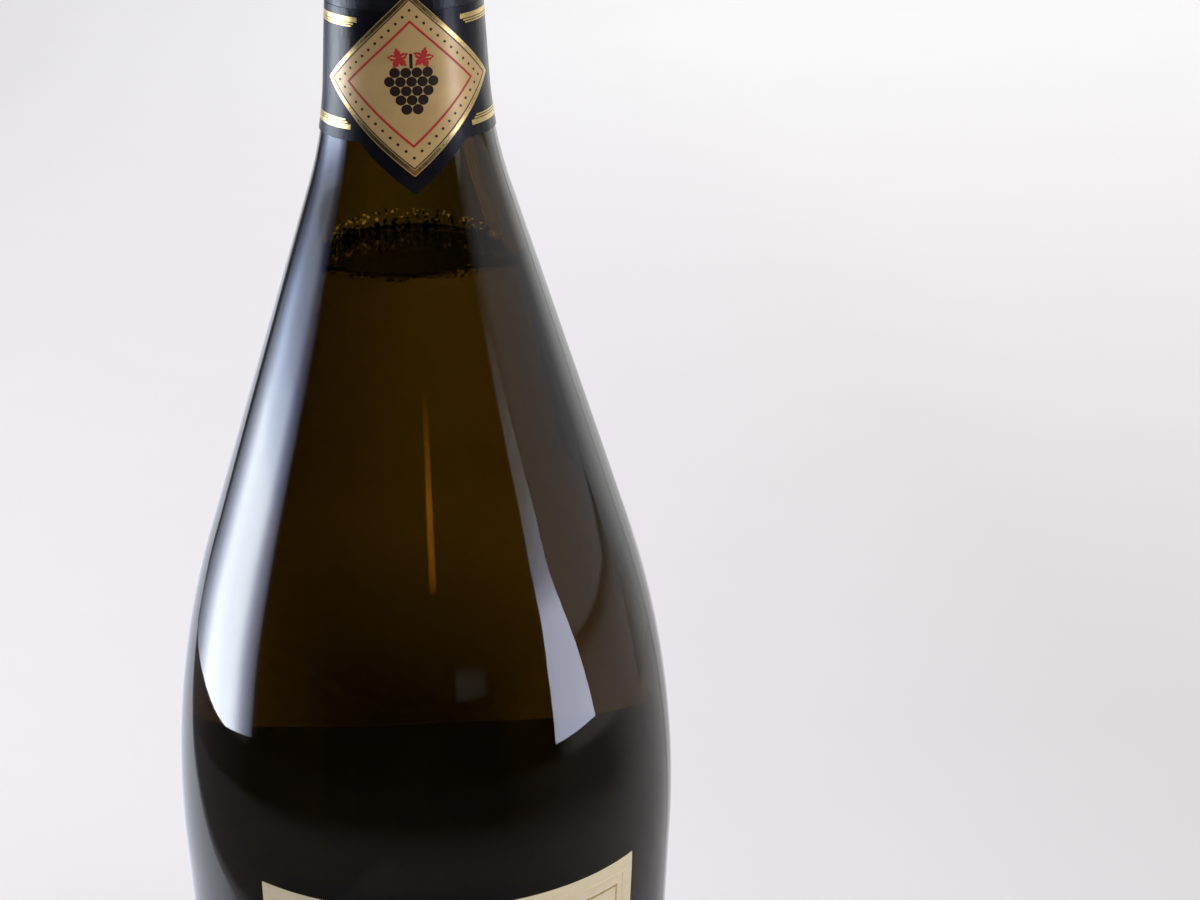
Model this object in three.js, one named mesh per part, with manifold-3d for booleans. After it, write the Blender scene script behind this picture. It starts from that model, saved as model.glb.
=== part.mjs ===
// A sparkling wine bottle, standing on its foot: glass, wine, cork, wire cage, foil skirt and paper labels.
// Millimetres, +Z up, the bottle's axis on Z, the foot at z = 0, the front label's middle towards -Y.
import * as THREE from 'three';
import { mergeVertices } from 'three/addons/utils/BufferGeometryUtils.js';
import Module from 'manifold-3d';

const wasm = await Module();
wasm.setup();

const DEG = Math.PI / 180;

// Glass: the outside
const bodyRadius = 44.25;
const widestHeight = 110;
const bellyArcRadius = 157;
const footTaper = 3.65 * DEG;
const shoulderAngle = 17.53 * DEG;
const sweepRadius = 76.7;
const neckTaper = 2.98 * DEG;
const neckRadius = 13;
const bottleHeight = 286;
const neckLength = 30;
const heelRadius = 7;
const restRingWidth = 4;
const puntRimWidth = 1;
const puntHeight = 22;

// Glass: the wall and the finish at the mouth
const wall = 4;
const floorThickness = 6;
const innerHeelRadius = 8;
const innerHeelAngle = 75 * DEG;
const ringOverhang = 2.5;
const ringDepth = 3.2;
const ringBelowMouth = 13.8;
const beadOverhang = 1.2;
const beadDepth = 5;
const lipHeight = 3;
const lipChamfer = 1;

// Wine and cork
const wineClearance = 0.3;
const headspaceDepth = 78.4;
const corkClearance = 0.12;
const corkDepth = 25;
const corkDiscThickness = 6;
const glueLine = 0.05;
const corkHeadHeight = 21;
const corkHeadRadius = 14.8;
const corkHeadFillet = 3;
const corkSeatGap = 0.4;

// Wire cage
const wireRadius = 0.5;
const wireGap = 0.3;
const legWireRadius = 0.48;
const legTurns = 6;
const legHalfWidth = 2 * legWireRadius;
const eyeletRadius = 1.25;
const eyeletWireRadius = 0.4;
const plateThickness = 0.4;
const plateGap = 0.1;
const plateRadius = 12.7;
const plateCrownRadius = 9.6;
const plateCrownRise = 1.2;
const beltDrop = 2.9;
const tailLength = 1.9;

// Ring-pull loop of the cage
const loopTilt = 25 * DEG;
const shankLength = 10;
const shankTurns = 3;
const loopRootGap = 0.6;
const loopWidth = 11.6;
const loopLength = 15;

// Foil and labels
const paperGap = 0.15;
const paperThickness = 0.15;
const foilThickness = 0.12;
const foilTornBelowMouth = 24;
const foilHiddenLength = 15;
const collarGap = 0.1;
const collarBelowMouth = 34.4;
const collarHeight = 22;
const collarPoint = 8.3;
const medallionHalfHeight = 15.3;
const medallionHalfWidth = 16;
const medallionBelowCollarTop = 12;
const medallionBlunt = 0.5;
const neckLabelTurn = -2.5 * DEG;
const frontLabelBelowWidest = 6.7;
const backLabelBelowWidest = 3.7;
const labelEdgeRadius = 460;
const frontLabelHeight = 82;
const frontLabelHalfAngle = 46.75 * DEG;
const backLabelHeight = 72;
const backLabelHalfAngle = 40 * DEG;

// Facets
const glassFacets = 52;
const wineFacets = 36;
const smallFacets = 40;
const wireSides = 6;

const glassColour = new THREE.MeshStandardMaterial({ color: 0x2c2008, roughness: 0.08, metalness: 0 });
const wineColour = new THREE.MeshStandardMaterial({ color: 0xc9a64a, roughness: 0.05, metalness: 0 });
const granuleColour = new THREE.MeshStandardMaterial({ color: 0xb98a58, roughness: 0.9, metalness: 0 });
const discColour = new THREE.MeshStandardMaterial({ color: 0xc69a66, roughness: 0.85, metalness: 0 });
const plateColour = new THREE.MeshStandardMaterial({ color: 0x14161f, roughness: 0.3, metalness: 0.6 });
const wireColour = new THREE.MeshStandardMaterial({ color: 0xb9b6ad, roughness: 0.35, metalness: 1 });
const foilColour = new THREE.MeshStandardMaterial({ color: 0x101118, roughness: 0.35, metalness: 0.5 });
const collarColour = new THREE.MeshStandardMaterial({ color: 0x14121c, roughness: 0.3, metalness: 0.1 });
const medallionColour = new THREE.MeshStandardMaterial({ color: 0xb29a74, roughness: 0.4, metalness: 0.5 });
const paperColour = new THREE.MeshStandardMaterial({ color: 0xd3c9b1, roughness: 0.7, metalness: 0 });

const part = new THREE.Group();
part.name = 'sparkling_wine_bottle';

function at(r, z) {
  return new THREE.Vector2(r, z);
}

function add(name, geometry, material) {
  const mesh = new THREE.Mesh(geometry, material.clone());
  mesh.name = name;
  part.add(mesh);
}

// Height where the neck's taper ends in a cylinder, and the point where the belly meets the shoulder.
const mouth = bottleHeight;
const neckStart = mouth - neckLength;
const shoulderFoot = {
  r: bodyRadius - bellyArcRadius * (1 - Math.cos(shoulderAngle)),
  z: widestHeight + bellyArcRadius * Math.sin(shoulderAngle),
};

// Straight lines of the shoulder and of the neck, `out` outside the glass: the radius at height z.
function shoulderLine(z, out) {
  return shoulderFoot.r + out / Math.cos(shoulderAngle) - (z - shoulderFoot.z) * Math.tan(shoulderAngle);
}

function neckLine(z, out) {
  return neckRadius + out + (neckStart - z) * Math.tan(neckTaper);
}

// The arc that leads the shoulder's line into the neck's: its radius, its centre and the heights of its ends.
function sweep(out) {
  const radius = sweepRadius - out;
  const meet = (shoulderLine(0, out) - neckLine(0, out)) / (Math.tan(shoulderAngle) - Math.tan(neckTaper));
  const tangent = radius * Math.tan((shoulderAngle - neckTaper) / 2);
  const low = meet - tangent * Math.cos(shoulderAngle);
  const high = meet + tangent * Math.cos(neckTaper);
  const centreR = neckLine(high, out) + radius * Math.cos(neckTaper);
  const centreZ = high + radius * Math.sin(neckTaper);
  return { radius, low, high, centreR, centreZ };
}

// Radius of the bottle's side at height z, on the surface `out` outside the glass (negative is inside).
function sideRadius(z, out) {
  const belly = bellyArcRadius + out;
  const bellyCentre = bodyRadius - bellyArcRadius;
  const bellyLow = widestHeight - belly * Math.sin(footTaper);
  const bellyHigh = widestHeight + belly * Math.sin(shoulderAngle);
  const { radius, low, high, centreR, centreZ } = sweep(out);
  if (z < bellyLow) return bellyCentre + belly * Math.cos(footTaper) - (bellyLow - z) * Math.tan(footTaper);
  if (z < bellyHigh) return bellyCentre + Math.sqrt(belly ** 2 - (z - widestHeight) ** 2);
  if (z < low) return shoulderLine(z, out);
  if (z < high) return centreR - Math.sqrt(radius ** 2 - (z - centreZ) ** 2);
  return neckLine(Math.min(z, neckStart), out);
}

// Points up the side from one height to another, closer together where the side curves.
function sidePoints(from, to, out) {
  const { low, high } = sweep(out);
  const bellyLow = widestHeight - bellyArcRadius * Math.sin(footTaper);
  const stretches = [[bellyLow, 1], [shoulderFoot.z, 5], [low, 1], [high, 4], [neckStart, 1], [to, 1]];
  const heights = [from];
  for (const [end, steps] of stretches) {
    const start = heights.at(-1);
    const rise = Math.min(end, to) - start;
    for (let k = 1; rise > 0 && k <= steps; k += 1) heights.push(start + rise * k / steps);
  }
  return heights.map((z) => at(sideRadius(z, out), z));
}

function arc(r, z, radius, from, to, steps) {
  const points = [];
  for (let k = 0; k <= steps; k += 1) {
    const a = from + (to - from) * k / steps;
    points.push(at(r + radius * Math.cos(a), z + radius * Math.sin(a)));
  }
  return points;
}

function turned(points, facets) {
  const geometry = new THREE.LatheGeometry(points, facets);
  geometry.rotateX(Math.PI / 2);
  return geometry;
}

// The punt is the dome pushed up into the foot: a parabola from its rim to its top.
const restOuter = sideRadius(heelRadius, 0) - heelRadius;
const restInner = restOuter - restRingWidth;
const puntRadius = restInner - puntRimWidth;

function puntPoints(rise, from, to) {
  const steps = 5;
  const points = [];
  for (let k = 0; k <= steps; k += 1) {
    const share = from + (to - from) * k / steps;
    points.push(at(puntRadius * share, rise + puntHeight * (1 - share ** 2)));
  }
  return points;
}

// The round corner between the hollow's floor and its side, from its lowest point up, `out` off the glass.
const innerHeelTop = floorThickness + 1.75 * innerHeelRadius;

function innerHeel(out, rise) {
  const middle = sideRadius(innerHeelTop, out) - innerHeelRadius;
  return arc(middle, floorThickness + innerHeelRadius + rise, innerHeelRadius, -innerHeelAngle, 0, 3);
}

// Glass, from the punt out to the foot, up the outside to the mouth and back down the inside
const boreRadius = neckRadius - wall;
const ringTop = mouth - ringBelowMouth;
const ringRadius = neckRadius + ringOverhang;
const ringLow = ringTop - ringDepth;
const ringRoot = ringLow - 0.65 * ringOverhang;
const beadRadius = neckRadius + beadOverhang;
const beadTop = mouth - lipHeight;
const beadLow = beadTop - beadDepth;
const innerPuntEdge = 0.86;
const glassOutline = [
  ...puntPoints(0, 0, 1),
  at(restInner, 0),
  at(restOuter, 0),
  ...arc(restOuter, heelRadius, heelRadius, -60 * DEG, 0, 3),
  ...sidePoints(heelRadius + 2, ringRoot, 0),
  at(ringRadius - 0.5, ringLow - 0.4),
  at(ringRadius, ringLow),
  at(ringRadius, ringTop),
  at(ringRadius - 0.6, ringTop + 0.8),
  at(neckRadius, ringTop + 2.2),
  at(neckRadius, beadLow - beadOverhang),
  at(beadRadius, beadLow),
  at(beadRadius, beadTop),
  at(beadRadius - 0.7, mouth - 0.8),
  at(beadRadius - 2, mouth),
  at(boreRadius + lipChamfer, mouth),
  at(boreRadius, mouth - lipChamfer),
  ...sidePoints(innerHeelTop, neckStart, -wall).reverse(),
  ...innerHeel(-wall, 0).reverse(),
  ...puntPoints(floorThickness, innerPuntEdge, 0),
];
add('glass_bottle', turned(glassOutline, glassFacets), glassColour);

// Wine, filled to a level in the neck
const wineTop = mouth - headspaceDepth;
const wineOut = -wall - wineClearance;
const wineOutline = [
  ...puntPoints(floorThickness + 2 * wineClearance, 0, innerPuntEdge),
  ...innerHeel(wineOut, 2 * wineClearance),
  ...sidePoints(innerHeelTop, wineTop, wineOut),
  at(0, wineTop),
];
add('wine', turned(wineOutline, wineFacets), wineColour);

// Cork: pressed granules with two natural discs glued underneath
const corkRadius = boreRadius - corkClearance;
const corkLow = mouth - corkDepth;
const disc = (low) => [at(0, low), at(corkRadius, low), at(corkRadius, low + corkDiscThickness),
  at(0, low + corkDiscThickness)];
const upperDiscLow = corkLow + corkDiscThickness + glueLine;
const granulesLow = upperDiscLow + corkDiscThickness + glueLine;
const headLow = mouth + corkSeatGap;
const headTop = mouth + corkHeadHeight;
const corkOutline = [
  at(0, granulesLow),
  at(corkRadius, granulesLow),
  at(corkRadius, headLow),
  at(corkHeadRadius - 4, headLow + 0.7),
  at(corkHeadRadius - 1.2, headLow + 3.2),
  at(corkHeadRadius - 0.2, headLow + 8),
  at(corkHeadRadius, headLow + 12),
  ...arc(corkHeadRadius - 0.2 - corkHeadFillet, headTop - corkHeadFillet, corkHeadFillet, 0, 90 * DEG, 4),
  at(0, headTop),
];
add('cork_body', turned(corkOutline, smallFacets), granuleColour);
add('cork_disc_upper', turned(disc(upperDiscLow), smallFacets), discColour);
add('cork_disc_lower', turned(disc(corkLow), smallFacets), discColour);

// Cap plate: a stamped disc with a raised crown, its brim under the top ring
const plateLow = headTop + plateGap;
const crownLow = plateLow + plateCrownRise;
const plateOutline = [
  at(0, crownLow + 0.3),
  at(plateCrownRadius - 1.6, crownLow),
  at(plateCrownRadius - 0.6, crownLow - 0.2),
  at(plateCrownRadius, plateLow),
  at(plateRadius, plateLow),
  at(plateRadius, plateLow + plateThickness),
  at(plateCrownRadius + 0.3, plateLow + plateThickness),
  at(plateCrownRadius - 0.3, crownLow + plateThickness - 0.1),
  at(plateCrownRadius - 1.4, crownLow + plateThickness),
  at(0, crownLow + plateThickness + 0.3),
];
add('cage_cap_plate', turned(plateOutline, smallFacets), plateColour);

// Top ring, on the brim and round the crown
const topRingRadius = plateCrownRadius + 0.3 + wireGap + wireRadius;
const topRingHeight = plateLow + plateThickness + 0.2 + wireRadius;
const topRing = new THREE.TorusGeometry(topRingRadius, wireRadius, wireSides, smallFacets);
topRing.translate(0, 0, topRingHeight);
add('cage_top_ring', topRing, wireColour);

function solidOf(geometry) {
  const bare = geometry.clone();
  bare.deleteAttribute('normal');
  bare.deleteAttribute('uv');
  const welded = mergeVertices(bare, 1e-4);
  return new wasm.Manifold(new wasm.Mesh({
    numProp: 3,
    vertProperties: new Float32Array(welded.attributes.position.array),
    triVerts: new Uint32Array(welded.index.array),
  }));
}

function geometryOf(solid) {
  const mesh = solid.getMesh();
  const geometry = new THREE.BufferGeometry();
  geometry.setAttribute('position', new THREE.BufferAttribute(new Float32Array(mesh.vertProperties), 3));
  geometry.setIndex(new THREE.BufferAttribute(new Uint32Array(mesh.triVerts), 1));
  return geometry;
}

// Two strands twisted together: a two-lobed section that turns as it follows a curve. The curve lies in a
// plane, and `side` is that plane's normal.
function twisted(curve, side, strandRadius, turns, steps) {
  const sides = 6;
  const points = [];
  const faces = [];
  for (let i = 0; i <= steps; i += 1) {
    const middle = curve.getPointAt(i / steps);
    const ahead = curve.getTangentAt(i / steps);
    const across = new THREE.Vector3().crossVectors(ahead, side).normalize();
    for (let k = 0; k < sides; k += 1) {
      const lobe = k * 2 * Math.PI / sides;
      const reach = strandRadius * (0.9 + 1.1 * Math.cos(lobe) ** 2);
      const turn = lobe - 2 * Math.PI * turns * i / steps;
      const p = middle.clone().addScaledVector(side, reach * Math.cos(turn));
      p.addScaledVector(across, reach * Math.sin(turn));
      points.push(p.x, p.y, p.z);
    }
  }
  const last = steps * sides;
  for (let i = 0; i < steps; i += 1) {
    for (let k = 0; k < sides; k += 1) {
      const a = i * sides + k;
      const b = i * sides + (k + 1) % sides;
      faces.push(a, b, a + sides, b, b + sides, a + sides);
    }
  }
  for (let k = 1; k < sides - 1; k += 1) {
    faces.push(0, k + 1, k, last, last + k, last + k + 1);
  }
  const geometry = new THREE.BufferGeometry();
  geometry.setAttribute('position', new THREE.Float32BufferAttribute(points, 3));
  geometry.setIndex(faces);
  return geometry;
}

function wire(points, radius, steps) {
  const section = new THREE.Shape();
  for (let k = 0; k < wireSides; k += 1) {
    const a = k * 2 * Math.PI / wireSides;
    if (k === 0) section.moveTo(radius, 0);
    else section.lineTo(radius * Math.cos(a), radius * Math.sin(a));
  }
  section.closePath();
  const curve = new THREE.CatmullRomCurve3(points, false, 'centripetal');
  return new THREE.ExtrudeGeometry(section, { steps, extrudePath: curve, bevelEnabled: false });
}

// Belt: round the neck under the glass ring, its two ends turned out side by side at the back
const beltHeight = ringLow - beltDrop;
const beltRadius = neckRadius + wireGap + eyeletRadius + eyeletWireRadius + 0.05;
const tailSpread = wireRadius + wireGap / 2;
const tailEnd = beltRadius + tailLength;
const beltOpening = Math.asin((tailSpread + 1.3) / beltRadius);
const beltPoints = [new THREE.Vector3(tailSpread, tailEnd, beltHeight)];
beltPoints.push(new THREE.Vector3(tailSpread, beltRadius + 0.9, beltHeight));
for (let k = 0; k <= 22; k += 1) {
  const a = 90 * DEG - beltOpening - (2 * Math.PI - 2 * beltOpening) * k / 22;
  beltPoints.push(new THREE.Vector3(beltRadius * Math.cos(a), beltRadius * Math.sin(a), beltHeight));
}
beltPoints.push(new THREE.Vector3(-tailSpread, beltRadius + 0.9, beltHeight));
beltPoints.push(new THREE.Vector3(-tailSpread, tailEnd, beltHeight));
add('belt_wire', wire(beltPoints, wireRadius, 64), wireColour);

// Legs: hooked over the top ring, down past the cork's head and the glass ring, to an eyelet round the belt
const legReach = Math.max(ringRadius, corkHeadRadius + 0.6) + wireGap + legHalfWidth;
const overRing = topRingHeight + wireRadius + wireGap + legHalfWidth;
const legOutline = [
  at(topRingRadius - 0.4, overRing),
  at(topRingRadius + 1.4, overRing - 0.3),
  at(plateRadius + 1.9, plateLow + 0.5),
  at(corkHeadRadius + 1.2, headTop - 3.5),
  at(legReach - 0.2, headTop - 9),
  at(legReach, ringTop),
  at(legReach, ringLow - 0.2),
  at(legReach - 0.3, ringLow - 1.2),
  at(beltRadius + eyeletRadius * 0.75, beltHeight + eyeletRadius * 0.75),
];
for (let leg = 1; leg <= 4; leg += 1) {
  const a = (leg * 90 - 45) * DEG;
  const path = legOutline.map((p) => new THREE.Vector3(p.x * Math.cos(a), p.x * Math.sin(a), p.y));
  const curve = new THREE.CatmullRomCurve3(path, false, 'centripetal');
  const tangent = new THREE.Vector3(-Math.sin(a), Math.cos(a), 0);
  const strands = twisted(curve, tangent, legWireRadius, legTurns, 36);
  const eyelet = new THREE.TorusGeometry(eyeletRadius, eyeletWireRadius, 6, 12);
  eyelet.rotateX(90 * DEG);
  eyelet.rotateZ(a);
  eyelet.translate(beltRadius * Math.cos(a), beltRadius * Math.sin(a), beltHeight);
  add(`cage_leg_${leg}`, geometryOf(solidOf(strands).add(solidOf(eyelet))), wireColour);
}

// Loop: the belt's ends twisted into a shank that hangs out from the neck, and the eye that is turned
const loopRoot = new THREE.Vector3(0, tailEnd + loopRootGap, beltHeight);
const loopDown = new THREE.Vector3(0, Math.sin(loopTilt), -Math.cos(loopTilt));
const shankTop = loopRoot.clone().add(new THREE.Vector3(0, 1.2, -0.5));
const shankPath = [loopRoot, loopRoot.clone().add(new THREE.Vector3(0, 0.7, -0.1)), shankTop];
for (let k = 1; k <= 4; k += 1) {
  shankPath.push(shankTop.clone().addScaledVector(loopDown, shankLength * k / 4));
}
const shankCurve = new THREE.CatmullRomCurve3(shankPath, false, 'centripetal');
const sideways = new THREE.Vector3(1, 0, 0);
add('loop_shank', twisted(shankCurve, sideways, wireRadius, shankTurns, 28), wireColour);

const eyeStart = shankTop.clone().addScaledVector(loopDown, shankLength + wireGap);
const half = loopWidth / 2;
const eyeSide = [[tailSpread, 0], [1.5, 1.6], [half * 0.8, loopLength * 0.34], [half, loopLength * 0.6],
  [half * 0.68, loopLength * 0.89]];
const onEye = ([x, s]) => eyeStart.clone().addScaledVector(sideways, x).addScaledVector(loopDown, s);
const eyePoints = [...eyeSide.map(onEye), onEye([0, loopLength]),
  ...eyeSide.map(([x, s]) => onEye([-x, s])).reverse()];
add('loop_eye', wire(eyePoints, wireRadius, 34), wireColour);

// A sheet wrapped on the bottle's side between two edges, `gap` off the glass. Angle 0 faces -Y.
function wrapped(from, to, columns, rows, lowEdge, highEdge, gap, thickness) {
  const whole = to - from > 359 * DEG;
  const points = [];
  const faces = [];
  const stride = 2 * (rows + 1);
  const count = whole ? columns : columns + 1;
  for (let i = 0; i < count; i += 1) {
    const a = from + (to - from) * i / columns;
    for (const out of [gap, gap + thickness]) {
      for (let j = 0; j <= rows; j += 1) {
        const z = lowEdge(a) + (highEdge(a) - lowEdge(a)) * j / rows;
        const r = sideRadius(z, out);
        points.push(r * Math.sin(a), -r * Math.cos(a), z);
      }
    }
  }
  const quad = (a, b, c, d) => faces.push(a, b, c, a, c, d);
  for (let i = 0; i < columns; i += 1) {
    const near = i * stride;
    const far = ((i + 1) % count) * stride;
    const outer = rows + 1;
    for (let j = 0; j < rows; j += 1) {
      quad(near + j, near + j + 1, far + j + 1, far + j);
      quad(near + outer + j, far + outer + j, far + outer + j + 1, near + outer + j + 1);
    }
    quad(near, far, far + outer, near + outer);
    quad(near + rows, near + outer + rows, far + outer + rows, far + rows);
  }
  if (!whole) {
    const end = columns * stride;
    for (let j = 0; j < rows; j += 1) {
      quad(j, rows + 1 + j, rows + 2 + j, j + 1);
      quad(end + j, end + j + 1, end + rows + 2 + j, end + rows + 1 + j);
    }
  }
  const geometry = new THREE.BufferGeometry();
  geometry.setAttribute('position', new THREE.Float32BufferAttribute(points, 3));
  geometry.setIndex(faces);
  return geometry;
}

const level = (z) => () => z;

// Foil: what is left on the neck, its torn edge below the belt, its lower end under the collar
const collarTop = mouth - collarBelowMouth;
const foilTop = mouth - foilTornBelowMouth;
const foilLow = collarTop - foilHiddenLength;
add('foil_skirt', wrapped(0, 360 * DEG, smallFacets, 3, level(foilLow), level(foilTop), paperGap,
  foilThickness), foilColour);

// Collar: a band whose lower edge runs to a point under the medallion
const medallionSlope = medallionHalfHeight / medallionHalfWidth;
const collarRadius = neckRadius + 0.5;
const collarLow = collarTop - collarHeight;
const arcFrom = (a) => collarRadius * Math.abs(a - neckLabelTurn);
const collarEdge = (a) => Math.min(collarLow, collarLow - collarPoint + medallionSlope * arcFrom(a));
const collarOut = paperGap + foilThickness + collarGap;
add('neck_collar', wrapped(neckLabelTurn - Math.PI, neckLabelTurn + Math.PI, 56, 5, collarEdge,
  level(collarTop), collarOut, paperThickness), collarColour);

// Medallion: a diamond wrapped over the collar's front
const medallionMiddle = collarTop - medallionBelowCollarTop;
const medallionHalfAngle = (medallionHalfWidth - medallionBlunt) / collarRadius;
const reachAt = (a) => medallionBlunt + medallionSlope * (medallionHalfWidth - medallionBlunt - arcFrom(a));
add('neck_medallion', wrapped(neckLabelTurn - medallionHalfAngle, neckLabelTurn + medallionHalfAngle, 24, 4,
  (a) => medallionMiddle - reachAt(a), (a) => medallionMiddle + reachAt(a),
  collarOut + paperThickness + collarGap, paperThickness), medallionColour);

// Body labels, front and back. They are flat sheets on a tapered body, so their edges sag in the middle.
const frontTop = widestHeight - frontLabelBelowWidest;
const backTop = widestHeight - backLabelBelowWidest;
const labelEdge = (middle, z) => (a) => z + (bodyRadius * (a - middle)) ** 2 / (2 * labelEdgeRadius);
const bodyLabel = (middle, halfAngle, top, height) => wrapped(middle - halfAngle, middle + halfAngle, 20, 5,
  labelEdge(middle, top - height), labelEdge(middle, top), paperGap, paperThickness);
add('front_label', bodyLabel(0, frontLabelHalfAngle, frontTop, frontLabelHeight), paperColour);
add('back_label', bodyLabel(Math.PI, backLabelHalfAngle, backTop, backLabelHeight), paperColour);

export default part;
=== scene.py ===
"""A sparkling wine bottle standing on its foot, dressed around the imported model.

Lengths are written in millimetres and become metres where a mesh is made. An angle round the bottle is 0 at
the middle of the front label, towards -Y, and grows towards +X.
"""

import math

import bmesh
import bpy
import numpy as np
from mathutils import Matrix, Vector, noise


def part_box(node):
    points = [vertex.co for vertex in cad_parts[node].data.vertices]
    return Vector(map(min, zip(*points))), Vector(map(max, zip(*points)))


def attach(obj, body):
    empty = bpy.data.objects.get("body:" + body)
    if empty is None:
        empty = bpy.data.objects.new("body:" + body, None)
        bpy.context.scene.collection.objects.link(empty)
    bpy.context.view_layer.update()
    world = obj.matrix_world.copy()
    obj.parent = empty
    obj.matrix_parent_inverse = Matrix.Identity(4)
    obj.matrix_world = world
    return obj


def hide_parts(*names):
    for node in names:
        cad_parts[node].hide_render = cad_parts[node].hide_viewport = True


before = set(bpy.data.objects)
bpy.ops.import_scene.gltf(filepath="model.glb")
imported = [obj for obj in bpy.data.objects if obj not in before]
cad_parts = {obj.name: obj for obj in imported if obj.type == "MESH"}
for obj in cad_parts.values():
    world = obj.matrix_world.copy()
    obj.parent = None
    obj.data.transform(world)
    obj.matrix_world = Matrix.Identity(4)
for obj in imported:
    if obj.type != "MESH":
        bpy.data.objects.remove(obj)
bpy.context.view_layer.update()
MM = 0.001


# Glass bottle: dark olive glass pressed and blown in a two-part mould, 4 mm thick to hold the pressure.
# The mould leaves a faint seam up two sides, and ribs under the foot keep the hot glass off the belt.
widest_height = 110
body_radius = 44.24
belly_arc_radius = 157
foot_taper = math.radians(3.65)
shoulder_angle = math.radians(17.53)
sweep_radius = 76.7
neck_taper = math.radians(2.98)
neck_radius = 13
neck_length = 30
heel_radius = 7
rest_ring_width = 4
punt_rim_width = 1
punt_height = 22
wall = 4
floor_thickness = 6
inner_heel_radius = 8
ring_radius = 15.5
ring_below_mouth = 13.8
ring_depth = 3.2
bead_radius = 14.2
bead_depth = 5
lip_height = 3
seam_angle = math.radians(70)
seam_height = 0.07
foot_ribs = 72
foot_rib_depth = 0.35
glass_segments = 4 * foot_ribs

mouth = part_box("glass_bottle")[1].z / MM
neck_start = mouth - neck_length
shoulder_foot_radius = body_radius - belly_arc_radius * (1 - math.cos(shoulder_angle))
shoulder_foot_height = widest_height + belly_arc_radius * math.sin(shoulder_angle)


def shoulder_line(z, out):
    slope = math.tan(shoulder_angle)
    return shoulder_foot_radius + out / math.cos(shoulder_angle) - (z - shoulder_foot_height) * slope


def neck_line(z, out):
    return neck_radius + out + (neck_start - z) * math.tan(neck_taper)


def side_radius(z, out):
    """Radius of the bottle's side at height z, on the surface `out` outside the glass."""
    belly = belly_arc_radius + out
    belly_low = widest_height - belly * math.sin(foot_taper)
    belly_centre = body_radius - belly_arc_radius
    if z < belly_low:
        return belly_centre + belly * math.cos(foot_taper) - (belly_low - z) * math.tan(foot_taper)
    if z < widest_height + belly * math.sin(shoulder_angle):
        return belly_centre + math.sqrt(belly**2 - (z - widest_height) ** 2)
    radius = sweep_radius - out
    lines_apart = shoulder_line(0, out) - neck_line(0, out)
    meet = lines_apart / (math.tan(shoulder_angle) - math.tan(neck_taper))
    tangent = radius * math.tan((shoulder_angle - neck_taper) / 2)
    sweep_low = meet - tangent * math.cos(shoulder_angle)
    sweep_high = meet + tangent * math.cos(neck_taper)
    if z < sweep_low:
        return shoulder_line(z, out)
    if z < sweep_high:
        centre_r = neck_line(sweep_high, out) + radius * math.cos(neck_taper)
        centre_z = sweep_high + radius * math.sin(neck_taper)
        return centre_r - math.sqrt(radius**2 - (z - centre_z) ** 2)
    return neck_line(min(z, neck_start), out)


def side(low, high, out, step=2):
    """Outline points up the side between two heights."""
    count = max(2, round((high - low) / step))
    return [(side_radius(z, out), z) for z in np.linspace(low, high, count + 1)]


def rounded(corners, steps=5):
    """Outline through (radius, height, fillet) corners, each turned into a short bend of that reach."""
    points = []
    for k, (r, z, reach) in enumerate(corners):
        here = Vector((r, z))
        if reach == 0 or k in (0, len(corners) - 1):
            points.append((r, z))
            continue
        back = Vector(corners[k - 1][:2]) - here
        on = Vector(corners[k + 1][:2]) - here
        start = here + back.normalized() * min(reach, 0.49 * back.length)
        end = here + on.normalized() * min(reach, 0.49 * on.length)
        for i in range(steps + 1):
            t = i / steps
            bend = start * (1 - t) ** 2 + here * (2 * t * (1 - t)) + end * t**2
            points.append((bend.x, bend.y))
    return points


def turned(outline, segments, relief=None):
    """Mesh of an outline turned round the axis.

    `relief` gives (out, up) for an outline point's number at an angle.
    """
    points, faces, rings = [], [], []
    for k, (r, z) in enumerate(outline):
        count = segments if r > 0 else 1
        rings.append(range(len(points), len(points) + count))
        for i in range(count):
            a = 2 * math.pi * i / segments
            out, up = relief(k, a) if relief else (0, 0)
            reach = (r + out) * MM
            points.append((reach * math.sin(a), -reach * math.cos(a), (z + up) * MM))
    for low, high in zip(rings, rings[1:]):
        for i in range(segments):
            j = (i + 1) % segments
            corners = (low[i % len(low)], low[j % len(low)], high[j % len(high)], high[i % len(high)])
            faces.append(list(dict.fromkeys(corners)))
    return points, faces


def make(name, mesh, material, crease_deg=40):
    """An object of (points, faces), smooth but for edges sharper than the crease."""
    data = bpy.data.meshes.new(name)
    points, faces = mesh
    data.from_pydata([tuple(p) for p in points], [], faces)
    data.validate()
    data.shade_smooth()
    data.set_sharp_from_angle(angle=math.radians(crease_deg))
    data.materials.append(material)
    made = bpy.data.objects.new(name, data)
    bpy.context.scene.collection.objects.link(made)
    return made


def linear(code):
    """Linear RGBA of an sRGB hex colour."""
    shares = [int(code[i : i + 2], 16) / 255 for i in (1, 3, 5)]
    return [s / 12.92 if s <= 0.04045 else ((s + 0.055) / 1.055) ** 2.4 for s in shares] + [1]


def node(tree, kind, inputs=None, **settings):
    """Adds a shader node; an input is a value, another node or one of its outputs."""
    made = tree.nodes.new("ShaderNode" + kind)
    for name, value in settings.items():
        setattr(made, name, value)
    for name, value in (inputs or {}).items():
        if isinstance(value, bpy.types.Node):
            value = value.outputs[0]
        if isinstance(value, bpy.types.NodeSocket):
            tree.links.new(value, made.inputs[name])
        else:
            made.inputs[name].default_value = value
    return made


def blank(name):
    """A new material with its empty node tree and the coordinates of the piece in metres."""
    made = bpy.data.materials.new(name)
    made.use_nodes = True
    made.node_tree.nodes.clear()
    place = node(made.node_tree, "TexCoord").outputs["Object"]
    return made, made.node_tree, place


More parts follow.
